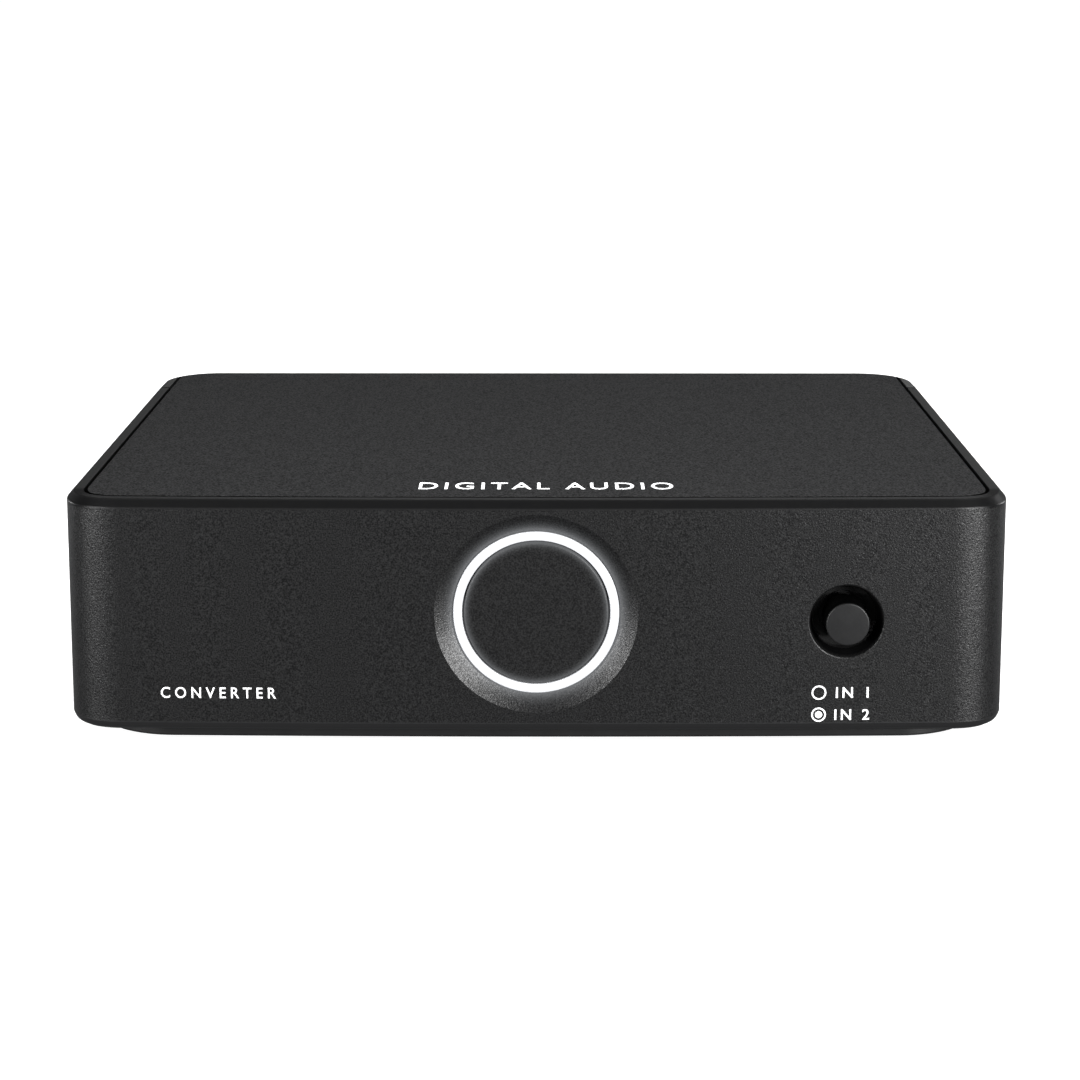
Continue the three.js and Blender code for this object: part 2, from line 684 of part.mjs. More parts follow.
function makeOpticalInput() {
  const pinY = yAt(SHUTTER_PIN.depth);
  const hub = [OPTICAL.x, pinY, SHUTTER_PIN.z];
  const housing = block(
    OPTICAL.x - OPTICAL.half,
    OPTICAL.x + OPTICAL.half,
    OPTICAL.front,
    OPTICAL.rear,
    MAIN_BOARD.high,
    OPTICAL.high,
  );
  const port = block(
    OPTICAL.x - PORT.half,
    OPTICAL.x + PORT.half,
    PORT.floor,
    OPTICAL.rear + 1,
    PORT.low,
    PORT.high,
  );
  const pinHole = turnedAcross(rod(SHUTTER.bore, -OPTICAL.half - 1, OPTICAL.half + 1)).translate(hub);
  const receiverZ = (PORT.low + PORT.high) / 2;
  const receiverHole = rod(RECEIVER.bore, OPTICAL.front - 1, PORT.floor + 1);
  addPiece('optical_housing', housing
    .subtract(port)
    .subtract(pinHole)
    .subtract(turnedAlongDepth(OPTICAL.x, receiverZ, receiverHole)), 'moulding');
  addPiece('optical_receiver', turnedAlongDepth(OPTICAL.x, receiverZ, [
    [0, RECEIVER.start],
    [RECEIVER.radius, RECEIVER.start],
    [RECEIVER.radius, RECEIVER.end - 1],
    [RECEIVER.lens, RECEIVER.end],
    [0, RECEIVER.end],
  ]), 'chip');
  const pin = turnedAcross(rod(SHUTTER_PIN.radius, -SHUTTER_PIN.half, SHUTTER_PIN.half));
  addPiece('shutter_pin', pin, 'steel', hub);
  makeShutter(hub);
}

// A flap that hangs from its pin, with its knuckle on one side and its spring on the other.
function makeShutter(hub) {
  const thin = SHUTTER.thick / 2;
  const coilReach = SHUTTER_SPRING.radius + 2 * SHUTTER_SPRING.wire;
  const flapTop = SHUTTER_PIN.z - coilReach - SHUTTER.gap;
  const flap = block(
    OPTICAL.x - SHUTTER.half,
    OPTICAL.x + SHUTTER.half,
    SHUTTER_PIN.depth - thin,
    SHUTTER_PIN.depth + thin,
    SHUTTER.low,
    flapTop,
  );
  const ear = block(
    OPTICAL.x - SHUTTER_KNUCKLE.to,
    OPTICAL.x - SHUTTER_KNUCKLE.from,
    SHUTTER_PIN.depth - thin,
    SHUTTER_PIN.depth + thin,
    flapTop - 1,
    SHUTTER_PIN.z,
  );
  const knuckle = turnedAcross(rod(SHUTTER.knuckle, -SHUTTER_KNUCKLE.to, -SHUTTER_KNUCKLE.from));
  const bore = turnedAcross(rod(SHUTTER.bore, -SHUTTER_KNUCKLE.to - 1, -SHUTTER_KNUCKLE.from + 1));
  const shutter = flap
    .add(ear)
    .add(knuckle.translate(hub))
    .subtract(bore.translate(hub));
  addPiece('optical_shutter', shutter, 'moulding');
  const coil = coilGeometry(SHUTTER_SPRING, SHUTTER_SPRING.start, SHUTTER_SPRING.end);
  coil.rotateZ(-Math.PI / 2);
  addPiece('shutter_spring', toSolid(coil), 'steel', hub);
}

function makeDataSocket() {
  const outer = prismAlongDepth(stadium(DATA.halfWidth, DATA.halfHeight), DATA.front, DATA.rear);
  const hollow = prismAlongDepth(
    stadium(DATA.halfWidth - DATA.skin, DATA.halfHeight - DATA.skin),
    DATA_TONGUE.root,
    DATA.rear + 1,
  );
  addPiece('data_socket_shell', outer.subtract(hollow), 'steel', [DATA.x, 0, DATA.z]);
  addPiece('data_socket_tongue', block(
    -DATA_TONGUE.halfWidth,
    DATA_TONGUE.halfWidth,
    DATA_TONGUE.front,
    DATA_TONGUE.rear,
    -DATA_TONGUE.halfHeight,
    DATA_TONGUE.halfHeight,
  ), 'moulding', [DATA.x, 0, DATA.z]);
}

function makePowerSocket() {
  const housing = block(
    POWER.x - POWER.half,
    POWER.x + POWER.half,
    POWER.front,
    POWER.rear,
    MAIN_BOARD.high,
    POWER.high,
  );
  const bore = rod(POWER_BORE.radius, POWER_BORE.floor, POWER.rear + 1);
  addPiece('power_socket', housing.subtract(turnedAlongDepth(POWER.x, POWER.z, bore, 28)), 'moulding');
  addPiece('power_pin', turnedAlongDepth(POWER.x, POWER.z, [
    [0, POWER_BORE.floor],
    [POWER_PIN.radius, POWER_BORE.floor],
    [POWER_PIN.radius, POWER_PIN.end - POWER_PIN.tip],
    [POWER_PIN.radius - POWER_PIN.tip, POWER_PIN.end],
    [0, POWER_PIN.end],
  ], 16), 'nickel');
}

// ---- Main board ----

function makeMainBoard() {
  let board = block(
    -MAIN_BOARD.x,
    MAIN_BOARD.x,
    MAIN_BOARD.frontDepth,
    MAIN_BOARD.rearDepth,
    MAIN_BOARD.low,
    MAIN_BOARD.high,
  );
  const hole = turnedUpright(rod(STANDOFF.clearance, 0, POST.low + 1));
  for (const { x, y } of caseFixings) {
    board = board.subtract(hole.translate([x, y, 0]));
  }
  addPiece('main_board', board, 'board');
}

function makeBoardParts() {
  const floor = MAIN_BOARD.high;
  for (const [name, x, depth, width, length, height, finish] of BOARD_PARTS) {
    addPiece(name, block(
      x - width / 2,
      x + width / 2,
      depth - length / 2,
      depth + length / 2,
      floor,
      floor + height,
    ), finish);
  }
  const capacitor = turnedUpright([
    [0, floor],
    [CAPACITOR.radius, floor],
    [CAPACITOR.radius, floor + CAPACITOR.height - CAPACITOR.edge],
    [CAPACITOR.radius - CAPACITOR.edge, floor + CAPACITOR.height],
    [0, floor + CAPACITOR.height],
  ]);
  CAPACITOR_PLACES.forEach(([x, depth], index) => {
    addPiece(`capacitor_${index + 1}`, capacitor, 'can', [x, yAt(depth), 0]);
  });
}

makeFrontShell();
makeRearCap();
makeTopCover();
makeBasePlate();
makeFeet();
makeCaseScrews();
makeLightRing();
makeFrontBoard();
makeLeds();
makeButton();
makeSwitch();
makePhonoSockets();
makeOpticalInput();
makeDataSocket();
makePowerSocket();
makeMainBoard();
makeBoardParts();

export default converter;
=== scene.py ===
"""The looks of a desktop digital-to-analogue converter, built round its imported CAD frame.

Meshes are drawn in millimetres in the row frame and scaled to metres as they are finished.
"Depth" is measured backwards from the foremost line of the front face.
"""

import json
import math

import bmesh
import bpy
from mathutils import Matrix, Vector


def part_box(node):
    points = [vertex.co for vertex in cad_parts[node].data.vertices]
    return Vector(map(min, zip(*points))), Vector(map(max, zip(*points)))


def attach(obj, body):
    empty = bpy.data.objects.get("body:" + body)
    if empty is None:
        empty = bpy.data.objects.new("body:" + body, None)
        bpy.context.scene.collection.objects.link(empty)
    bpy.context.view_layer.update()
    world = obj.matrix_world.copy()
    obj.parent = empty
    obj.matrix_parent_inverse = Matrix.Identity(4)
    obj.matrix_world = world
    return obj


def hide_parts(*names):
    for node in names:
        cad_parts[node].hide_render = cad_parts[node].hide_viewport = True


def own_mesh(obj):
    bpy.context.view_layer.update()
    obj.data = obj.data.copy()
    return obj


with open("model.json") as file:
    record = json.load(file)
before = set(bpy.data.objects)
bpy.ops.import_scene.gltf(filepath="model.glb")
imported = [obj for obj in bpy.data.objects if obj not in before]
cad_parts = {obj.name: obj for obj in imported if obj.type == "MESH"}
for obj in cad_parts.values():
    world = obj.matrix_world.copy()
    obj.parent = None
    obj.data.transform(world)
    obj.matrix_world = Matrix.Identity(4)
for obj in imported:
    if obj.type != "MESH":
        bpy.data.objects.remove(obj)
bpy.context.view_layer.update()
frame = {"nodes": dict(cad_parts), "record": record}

MM = 0.001


def box_mm(node):
    """A CAD node's lowest and highest corners in millimetres."""
    low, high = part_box(node)
    return low / MM, high / MM


# ---- Sizes read from the frame ----

shell_low, shell_high = box_mm("front_shell")
_, cap_high = box_mm("rear_cap")
base_low, base_high = box_mm("base_plate")
ring_low, ring_high = box_mm("light_ring")
disc_low, disc_high = box_mm("ring_cap")
button_low, button_high = box_mm("input_button")
block_low, block_high = box_mm("phono_block")
barrel_low, barrel_high = box_mm("phono_barrel_left")
optical_low, optical_high = box_mm("optical_housing")
power_low, power_high = box_mm("power_socket")
data_low, data_high = box_mm("data_socket_shell")

SIDE = shell_high.x
FRONT = shell_low.y
REAR = cap_high.y
LOW = shell_low.z
TOP = shell_high.z
SEAM_FRONT = shell_high.y
SPARE = 4.0

# ---- Driving dimensions that a box doesn't hold, in millimetres ----

FRONT_CORNER = 7.8
CORNER_REACH = 1.22  # how far a front corner reaches along the walls, against its radius
CORNER_PULL = 0.69  # how hard it is pulled towards the sharp corner; a round one has 0.55
REAR_CORNER = 10.6
BOW_RADIUS = 2345.0
TOP_CHAMFER = 1.2
LOW_CHAMFER = 1.5
EDGE = 0.22  # the small round on most moulded edges
RIM = 0.11  # the one on the case's side of the lid's seam
WALL = 2.8
LEDGE_INSET = 5.2
LEDGE_CORNER = 11.4
FLOOR_LEDGE_TOP = 6.5
LID_LEDGE_LOW = 36.3
LID_LOW = 37.4
LID_INSET = 3.25
LID_GAP = 0.6
LID_RIM = 0.06
GROOVE_CLOSED = 0.05
GROOVE_END = REAR - 5.4
SPRING_TURNS = 3
BASE_GAP = 0.3
SEAM_REAR = SEAM_FRONT + 0.65
BASE_INSET = 2.6
BASE_CORNER = 14.0
BASE_TOP = 4.5
DISH_RADIUS = 15.5
DISH_FLOOR_RADIUS = 12.95
DISH_DEPTH = 1.35
RING_RADIUS = 12.65
RING_HOLE = 12.8
GLOW_FALLOFF = 3.2
BUTTON_HOLE = 5.65
BUTTON_HOLE_INNER = 4.95
BUTTON_HOLE_TAPER = 3.0  # the depth at which it has narrowed to that
POST_X = 50.0
POST_DEPTHS = (26.0, 84.0)
FOOT_X = 57.5
FOOT_DEPTHS = (15.0, 95.0)
BOARD_POSTS = ((-18.5, 30.0), (30.0, 30.0))  # x and height of the front board's posts
BOARD_POST_RADIUS = 2.6
BOARD_POST_BORE = 0.8
TONGUE_OUTER = 3.1  # insets of the rear cap's tongues, which reach into the front shell
TONGUE_INNER = 4.9
TONGUE_ROOT = 2.1
TONGUE_REACH = 6.0
TONGUE_LOW = 9.0
TONGUE_HIGH = 33.0
SOCKET_GAP = 0.35
SOCKET_CORNER = 0.6
SOCKET_Z = 16.4  # of the optical port and the power socket
SCREW_TURNS = 26

BOW_STEPS = 40
CORNER_STEPS = 22
ROUND_STEPS = 96

RING_Z = (ring_low.z + ring_high.z) / 2
PHONO_Z = (barrel_low.z + barrel_high.z) / 2
BUTTON_X = (button_low.x + button_high.x) / 2
BUTTON_Z = (button_low.z + button_high.z) / 2


# ---- Mesh helpers ----

def arc(x, y, radius, start, end, steps):
    """Points on an arc, both its ends included."""
    turns = [start + (end - start) * i / steps for i in range(steps + 1)]
    return [(x + radius * math.cos(t), y + radius * math.sin(t)) for t in turns]


def rounded(points, radius, steps=4):
    """The same line with each of its inner corners eased, by one radius or by one each."""
    result = [tuple(points[0])]
    radii = radius if isinstance(radius, list) else [radius] * (len(points) - 2)
    for before, corner, after, radius in zip(points, points[1:], points[2:], radii):
        middle = Vector(corner)
        back, on = Vector(before) - middle, Vector(after) - middle
        reach = radius / max(math.tan(back.angle(on) / 2), 0.01)
        reach = min(reach, 0.45 * back.length, 0.45 * on.length)
        start = middle + back.normalized() * reach
        end = middle + on.normalized() * reach
        for i in range(steps + 1):
            t = i / steps
            point = start * (1 - t) ** 2 + middle * 2 * t * (1 - t) + end * t * t
            result.append(tuple(point))
    result.append(tuple(points[-1]))
    return result


def new_object(bm):
    bmesh.ops.recalc_face_normals(bm, faces=bm.faces)
    mesh = bpy.data.meshes.new("piece")
    bm.to_mesh(mesh)
    bm.free()
    piece = bpy.data.objects.new("piece", mesh)
    bpy.context.scene.collection.objects.link(piece)
    return piece


def skin(rings):
    """A closed solid through rings of points with the same count, capped at both ends."""
    bm = bmesh.new()
    loops = [[bm.verts.new(p) for p in ring] for ring in rings]
    for low, high in zip(loops, loops[1:]):
        for i, corner in enumerate(low):
            after = (i + 1) % len(low)
            bm.faces.new((corner, low[after], high[after], high[i]))
    bm.faces.new(loops[0])
    bm.faces.new(loops[-1])
    return new_object(bm)


def turned(profile, place, steps=ROUND_STEPS, axis="Y"):
    """A profile of (radius, length) points turned about a line through place.

    A profile that starts and ends on the axis is a solid; any other closes on itself.
    """
    solid = profile[0][0] == 0 and profile[-1][0] == 0
    bm = bmesh.new()
    loops = []
    for radius, length in profile:
        count = 1 if radius == 0 else steps
        turns = [2 * math.pi * i / steps for i in range(count)]
        loops.append([bm.verts.new((radius * math.cos(t), length, radius * math.sin(t))) for t in turns])
    pairs = list(zip(loops, loops[1:]))
    if not solid:
        pairs.append((loops[-1], loops[0]))
    for low, high in pairs:
        for i in range(steps):
            after = (i + 1) % steps
            if len(low) == 1 and len(high) == 1:
                continue
            if len(low) == 1:
                bm.faces.new((low[0], high[after], high[i]))
            elif len(high) == 1:
                bm.faces.new((low[i], low[after], high[0]))
            else:
                bm.faces.new((low[i], low[after], high[after], high[i]))
    turn = {
        "X": Matrix.Rotation(-math.pi / 2, 4, "Z"),
        "Y": Matrix.Identity(4),
        "Z": Matrix.Rotation(math.pi / 2, 4, "X"),
    }
    bmesh.ops.transform(bm, matrix=Matrix.Translation(place) @ turn[axis], verts=bm.verts)
    return new_object(bm)


def rod(radius, start, end, edge=0.0):
    """The profile of a rod, with both its rims eased."""
    line = [(0, start), (radius, start), (radius, end), (0, end)]
    return rounded(line, edge) if edge else line


def tube(inner, outer, start, end, edge):
    """The profile of a tube, with its rims eased."""
    middle = (start + end) / 2
    line = [(inner, middle), (inner, start), (outer, start), (outer, end), (inner, end), (inner, middle)]
    return rounded(line, edge)[:-1]


def block(low, high, edge=0.0):
    """A box between two corners, with its edges eased."""
    bm = bmesh.new()
    bmesh.ops.create_cube(bm, size=1)
    size = Vector(high) - Vector(low)
    middle = (Vector(high) + Vector(low)) / 2
    place = Matrix.Translation(middle) @ Matrix.Diagonal((*size, 1))
    bmesh.ops.transform(bm, matrix=place, verts=bm.verts)
    if edge:
        bmesh.ops.bevel(bm, geom=bm.edges[:], offset=edge, segments=3, profile=0.5, affect="EDGES")
    return new_object(bm)


def combine(piece, others, operation="DIFFERENCE"):
    """Cuts others out of piece, or joins them to it, and removes them."""
    for other in others:
        step = piece.modifiers.new("step", "BOOLEAN")
        step.operation = operation
        step.solver = "EXACT"
        step.object = other
        shape = bpy.data.meshes.new_from_object(
            piece.evaluated_get(bpy.context.evaluated_depsgraph_get())
        )
        piece.modifiers.clear()
        piece.data = shape
        bpy.data.objects.remove(other)
    return piece


def cut(piece, *others):
    return combine(piece, others)


def join(piece, *others):
    return combine(piece, others, "UNION")


def keep(piece, *others):
    return combine(piece, others, "INTERSECT")


def finish_piece(piece, name, material, body, nodes=(), sharp=28):
    """Scales a piece to metres, gives it its material and seats it on its body."""
    piece.name = name
    mesh = piece.data
    mesh.name = name
    mesh.transform(Matrix.Scale(MM, 4))
    bm = bmesh.new()
    bm.from_mesh(mesh)
    bmesh.ops.remove_doubles(bm, verts=bm.verts, dist=0.002 * MM)
    bmesh.ops.dissolve_degenerate(bm, edges=bm.edges, dist=0.001 * MM)
    bm.to_mesh(mesh)
    bm.free()
    mesh.shade_smooth()
    mesh.set_sharp_from_angle(angle=math.radians(sharp))
    even = piece.modifiers.new("even_shading", "WEIGHTED_NORMAL")
    even.keep_sharp = True
    even.mode = "FACE_AREA_WITH_ANGLE"
    mesh.materials.clear()
    mesh.materials.append(material)
    for face in mesh.polygons:
        face.material_index = 0
    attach(piece, body)
    if nodes:
        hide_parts(*nodes)
    return piece


# ---- Plan outlines of the case ----

def bow_turn(inset, corner):
    return math.asin((SIDE - inset - corner) / (BOW_RADIUS - inset - corner))


def front_edge(inset, corner):
    """The bowed front and two round corners, moved inwards by inset."""
    turn = bow_turn(inset, corner)
    centre = FRONT + BOW_RADIUS
    x = SIDE - inset - corner
    y = centre - math.sqrt((BOW_RADIUS - inset - corner) ** 2 - x * x)
    down = 1.5 * math.pi
    return (
        arc(-x, y, corner, math.pi, down - turn, CORNER_STEPS)
        + arc(0, centre, BOW_RADIUS - inset, down - turn, down + turn, BOW_STEPS)[1:-1]
        + arc(x, y, corner, down + turn, 2 * math.pi, CORNER_STEPS)
    )


def soft_front_edge(inset, corner):
    """The bowed front and its two corners, whose curve sets in earlier than a round one's."""
    reach = CORNER_REACH * corner
    radius = BOW_RADIUS - inset
    side = SIDE - inset
    x = side - reach
    turn = math.asin(x / radius)
    centre = FRONT + BOW_RADIUS
    end = Vector((x, centre - radius * math.cos(turn)))
    sharp = Vector((side, end.y + reach * math.tan(turn)))
    start = sharp + Vector((0, reach))
    handles = sharp.lerp(end, 1 - CORNER_PULL), sharp.lerp(start, 1 - CORNER_PULL)
    corner_points = []
    for i in range(CORNER_STEPS + 1):
        t = i / CORNER_STEPS
        point = (
            end * (1 - t) ** 3 + handles[0] * 3 * t * (1 - t) ** 2
            + handles[1] * 3 * t * t * (1 - t) + start * t ** 3
        )
        corner_points.append((point.x, point.y))
    down = 1.5 * math.pi
    return (
        [(-x, y) for x, y in reversed(corner_points)]
        + arc(0, centre, radius, down - turn, down + turn, BOW_STEPS)[1:-1]
        + corner_points
    )


def plan(inset, front_corner=None, rear_corner=None):
    """The case's outline moved inwards, with its own front corners or given round ones."""
    if front_corner is None:
        front = soft_front_edge(inset, FRONT_CORNER - inset)
    else:
        front = front_edge(inset, front_corner)
    rear_corner = REAR_CORNER - inset if rear_corner is None else rear_corner
    x = SIDE - inset - rear_corner
    y = REAR - inset - rear_corner
    return (
        front
        + arc(x, y, rear_corner, 0, math.pi / 2, CORNER_STEPS)
        + arc(-x, y, rear_corner, math.pi / 2, math.pi, CORNER_STEPS)
    )


def open_plan(inset):
    """The lid's outline: its sides run straight back past the rear edge."""
    side = SIDE - inset
    back = REAR + SPARE
    return soft_front_edge(inset, FRONT_CORNER - inset) + [(side, back), (-side, back)]


def pocket_plan(inset):
    """The lid's pocket, whose sides close in on the lid where the grooves beside it end."""
    side = SIDE - inset
    tight = side - LID_GAP + GROOVE_CLOSED
    back = REAR + SPARE
    right = [(side, GROOVE_END), (tight, GROOVE_END), (tight, back)]
    left = [(-x, y) for x, y in reversed(right)]
    return soft_front_edge(inset, FRONT_CORNER - inset) + right + left


def base_plan(inset):
    corner = BASE_CORNER + BASE_INSET - inset
    return plan(inset, corner, corner)


def upright(outline, levels):
    """A solid whose outline(inset) changes through (inset, height) levels."""
    return skin([[(x, y, z) for x, y in outline(inset)] for inset, z in levels])


def face_y(x):
    """Where the bowed front face lies at x."""
    return FRONT + BOW_RADIUS - math.sqrt(BOW_RADIUS ** 2 - x * x)


# ---- Materials ----

class Surface:
    """A principled material and the few procedural steps that the pieces share."""

    def __init__(self, name, color, roughness, metallic=0.0, specular=0.5):
        self.material = bpy.data.materials.new(name)
        self.material.use_nodes = True
        self.nodes = self.material.node_tree.nodes
        self.links = self.material.node_tree.links
        self.shader = self.nodes["Principled BSDF"]
        self.shader.inputs["Base Color"].default_value = (*color, 1)
        self.shader.inputs["Roughness"].default_value = roughness
        self.shader.inputs["Metallic"].default_value = metallic
        self.shader.inputs["Specular IOR Level"].default_value = specular
        self.color = color
        self.place = self.nodes.new("ShaderNodeTexCoord").outputs["Object"]
        self.bump = None

    def noise(self, scale, detail=2.0, rough=0.5, stretch=None):
        node = self.nodes.new("ShaderNodeTexNoise")
        node.inputs["Scale"].default_value = scale
        node.inputs["Detail"].default_value = detail
        node.inputs["Roughness"].default_value = rough
        place = self.place
        if stretch:
            mapping = self.nodes.new("ShaderNodeMapping")
            mapping.inputs["Scale"].default_value = stretch
            self.links.new(place, mapping.inputs["Vector"])
            place = mapping.outputs["Vector"]
        self.links.new(place, node.inputs["Vector"])
        return node.outputs["Fac"]

    def cells(self, scale):
        node = self.nodes.new("ShaderNodeTexVoronoi")
        node.inputs["Scale"].default_value = scale
        self.links.new(self.place, node.inputs["Vector"])
        return node.outputs["Distance"]

    def ranged(self, value, low, high, to_low, to_high, smooth=False):
        node = self.nodes.new("ShaderNodeMapRange")
        node.interpolation_type = "SMOOTHSTEP" if smooth else "LINEAR"
        node.inputs["From Min"].default_value = low
        node.inputs["From Max"].default_value = high
        node.inputs["To Min"].default_value = to_low
        node.inputs["To Max"].default_value = to_high
        self.links.new(value, node.inputs["Value"])
        return node.outputs["Result"]

    def math(self, operation, first, second):
        node = self.nodes.new("ShaderNodeMath")
        node.operation = operation
        for socket, value in zip(node.inputs, (first, second)):
            if isinstance(value, (int, float)):
                socket.default_value = value
            else:
                self.links.new(value, socket)
        return node.outputs["Value"]

    def times(self, first, second):
        return self.math("MULTIPLY", first, second)

    def rest(self, value):
        """What is left of 1."""
        return self.math("SUBTRACT", 1, value)

    def axes(self):
        node = self.nodes.new("ShaderNodeSeparateXYZ")
        self.links.new(self.place, node.inputs["Vector"])
        return node.outputs

    def span(self, value, low, high, to_low, to_high, smooth=False):
        """The same as ranged, between two lengths in millimetres."""
        return self.ranged(value, low * MM, high * MM, to_low, to_high, smooth)

    def from_line(self, x, z):
        """The distance from a line along Y, which is placed in millimetres."""
        axes = self.axes()
        across = self.math("SUBTRACT", axes["X"], x * MM)
        up = self.math("SUBTRACT", axes["Z"], z * MM)
        return self.math("SQRT", self.math("ADD", self.times(across, across), self.times(up, up)), 0)

    def vary_color(self, value, amount, other=None):
        """Mixes the colour towards other, or a lighter one of its own, by a 0 to 1 value."""
        other = other or tuple(min(1.0, c * (1 + amount)) for c in self.color)
        base = tuple(max(0.0, c * (1 - amount)) for c in self.color)
        node = self.nodes.new("ShaderNodeMix")
        node.data_type = "RGBA"
        node.inputs["A"].default_value = (*base, 1)
        node.inputs["B"].default_value = (*other, 1)
        self.links.new(value, node.inputs["Factor"])
        self.links.new(node.outputs["Result"], self.shader.inputs["Base Color"])

    def vary_roughness(self, value, low, high):
        self.links.new(self.ranged(value, 0, 1, low, high), self.shader.inputs["Roughness"])

    def add_bump(self, height, strength, distance):
        """Adds a bump over those added before it."""
        node = self.nodes.new("ShaderNodeBump")
        node.inputs["Distance"].default_value = distance
        if isinstance(strength, (int, float)):
            node.inputs["Strength"].default_value = strength
        else:
            self.links.new(strength, node.inputs["Strength"])
        self.links.new(height, node.inputs["Height"])
        if self.bump:
            self.links.new(self.bump, node.inputs["Normal"])
        self.bump = node.outputs["Normal"]
        self.links.new(self.bump, self.shader.inputs["Normal"])


def painted_ring_glow(s, start, end, strength):
    """Painted light: emission that stands for the ring's light on what lies round it, fading from one
    radius in millimetres to another.
    """
    near = s.span(s.from_line(0, RING_Z), start, end, 1, 0)
    fade = s.math("POWER", near, GLOW_FALLOFF)
    in_front = s.span(s.axes()["Y"], FRONT + 1.6, FRONT + 2.4, strength, 0)
    s.shader.inputs["Emission Color"].default_value = (0.93, 0.96, 1.0, 1)
    s.links.new(s.times(fade, in_front), s.shader.inputs["Emission Strength"])

def shell_surface():
    """Coarse moulded sand grain on the walls; the chamfers above and below are smooth satin, the lower one
    painted lighter as a painted reflection of the floor.
    """
    s = Surface("shell_plastic", (0.0040, 0.0040, 0.0042), 0.5)
    height, depth = s.axes()["Z"], s.axes()["Y"]
    chamfer = TOP - TOP_CHAMFER
    under = s.span(height, chamfer - 0.3, chamfer, 1, 0, True)
    over = s.span(height, LOW + LOW_CHAMFER, LOW + LOW_CHAMFER + 0.3, 0, 1, True)
    wall = s.times(under, over)
    speck = s.ranged(s.noise(4600, detail=1.0, rough=0.4), 0.3, 0.72, 0, 1)
    # Painted reflection: the smooth chamfers are painted lighter towards the bottom, standing in for the
    # floor's reflection on the lower chamfer.
    smooth = s.span(height, 10, 30, 1.0, 0.3)
    grain_and_painted_light = s.math("ADD", s.times(speck, wall), s.times(s.rest(wall), smooth))
    # Painted shade: the inside of the button hole, from 0.9 mm behind the face, is painted darker and less
    # glossy.
    hole_throat_shade = s.times(
        s.span(s.from_line(BUTTON_X, BUTTON_Z), BUTTON_HOLE - 0.1, BUTTON_HOLE + 0.1, 1, 0),
        s.span(depth, FRONT + 0.9, FRONT + 1.5, 0, 1),
    )
    # Painted shade: the rear cap's top chamfer, behind the seam, is painted darker and less glossy.
    rear_chamfer_shade = s.times(
        s.span(depth, SEAM_FRONT, SEAM_REAR, 0, 1),
        s.span(height, chamfer - 0.1, chamfer + 0.1, 0, 1),
    )
    # Both painted shades darken the colour and dull the gloss.
    shaded = s.math("MAXIMUM", hole_throat_shade, rear_chamfer_shade)
    grain_and_painted_light = s.times(grain_and_painted_light, s.rest(shaded))
    s.vary_color(grain_and_painted_light, 0.0, (0.0115, 0.0115, 0.0118))
    rim = s.span(height, TOP - 0.22, TOP - 0.08, 0, 1)
    at_corner = s.times(
        s.span(depth, FRONT + 8, FRONT + 10, 1, 0),
        s.span(s.math("ABSOLUTE", s.axes()["X"], 0), SIDE - 7, SIDE - 3, 0, 1),
    )
    corner_edge = s.times(s.span(height, chamfer - 0.5, chamfer - 0.2, 0, 1), at_corner)
    dull = s.math("MAXIMUM", s.times(rim, 0.2), s.times(shaded, 0.6))
    dull = s.math("MAXIMUM", dull, s.times(corner_edge, 0.8))
    gloss = s.times(s.ranged(grain_and_painted_light, 0, 1, 0.25, 0.8), s.rest(dull))
    s.links.new(gloss, s.shader.inputs["Specular IOR Level"])
    s.add_bump(s.noise(3200, detail=1.0), s.times(wall, 0.5), 0.00005)
    s.add_bump(s.noise(5200, detail=1.0), s.times(wall, 0.8), 0.00004)
    roughness = s.ranged(s.noise(900), 0, 1, 0.36, 0.43)
    s.links.new(s.math("ADD", roughness, s.times(rim, 0.2)), s.shader.inputs["Roughness"])
    # Painted glow of the ring on the dish round it.
    painted_ring_glow(s, RING_RADIUS, RING_RADIUS + 3.0, 0.19)
    return s.material

def lid_surface():
    """Fine grain; the lid's own wall in the seam is painted darker: painted shade in the gap."""
    s = Surface("lid_plastic", (0.0020, 0.0020, 0.0021), 0.6)
    grain = s.ranged(s.noise(3600, detail=1.0, rough=0.4), 0.36, 0.66, 0.32, 1)
    # Painted shade: the lid's wall below its top face, in front of the rear end, is painted darker and less
    # glossy.
    seam_shade = s.times(
        s.span(s.axes()["Z"], TOP - 0.05, TOP - 0.012, 1, 0),
        s.span(s.axes()["Y"], REAR - 8, REAR - 6, 1, 0),
    )
    speck = s.times(grain, s.rest(seam_shade))
    s.vary_color(speck, 0.0, (0.0210, 0.0210, 0.0215))
    s.links.new(s.ranged(speck, 0.32, 1, 0.1, 0.6), s.shader.inputs["Specular IOR Level"])
    s.add_bump(s.noise(4800, detail=1.0), 0.7, 0.00004)
    s.vary_roughness(s.noise(700), 0.56, 0.64)
    return s.material

def disc_surface():
    s = Surface("disc_plastic", (0.0035, 0.0035, 0.0037), 0.5)
    speck = s.ranged(s.noise(4600, detail=1.0, rough=0.4), 0.3, 0.72, 0, 1)
    s.vary_color(speck, 0.0, (0.0085, 0.0085, 0.0088))
    s.links.new(s.ranged(speck, 0, 1, 0.2, 0.6), s.shader.inputs["Specular IOR Level"])
    s.add_bump(s.noise(5200, detail=1.0), 0.5, 0.00003)
    s.vary_roughness(s.noise(700), 0.46, 0.52)
    # Painted glow of the ring on the disc's rim.
    painted_ring_glow(s, 11.1, 9.3, 0.16)
    return s.material


def satin_surface(name, color, roughness, bump=0.15):
    s = Surface(name, color, roughness)
    s.vary_color(s.noise(300, detail=3.0), 0.12)
    s.add_bump(s.noise(5000, detail=2.0), bump, 0.00002)
    s.vary_roughness(s.noise(500), roughness - 0.05, roughness + 0.07)
    return s.material


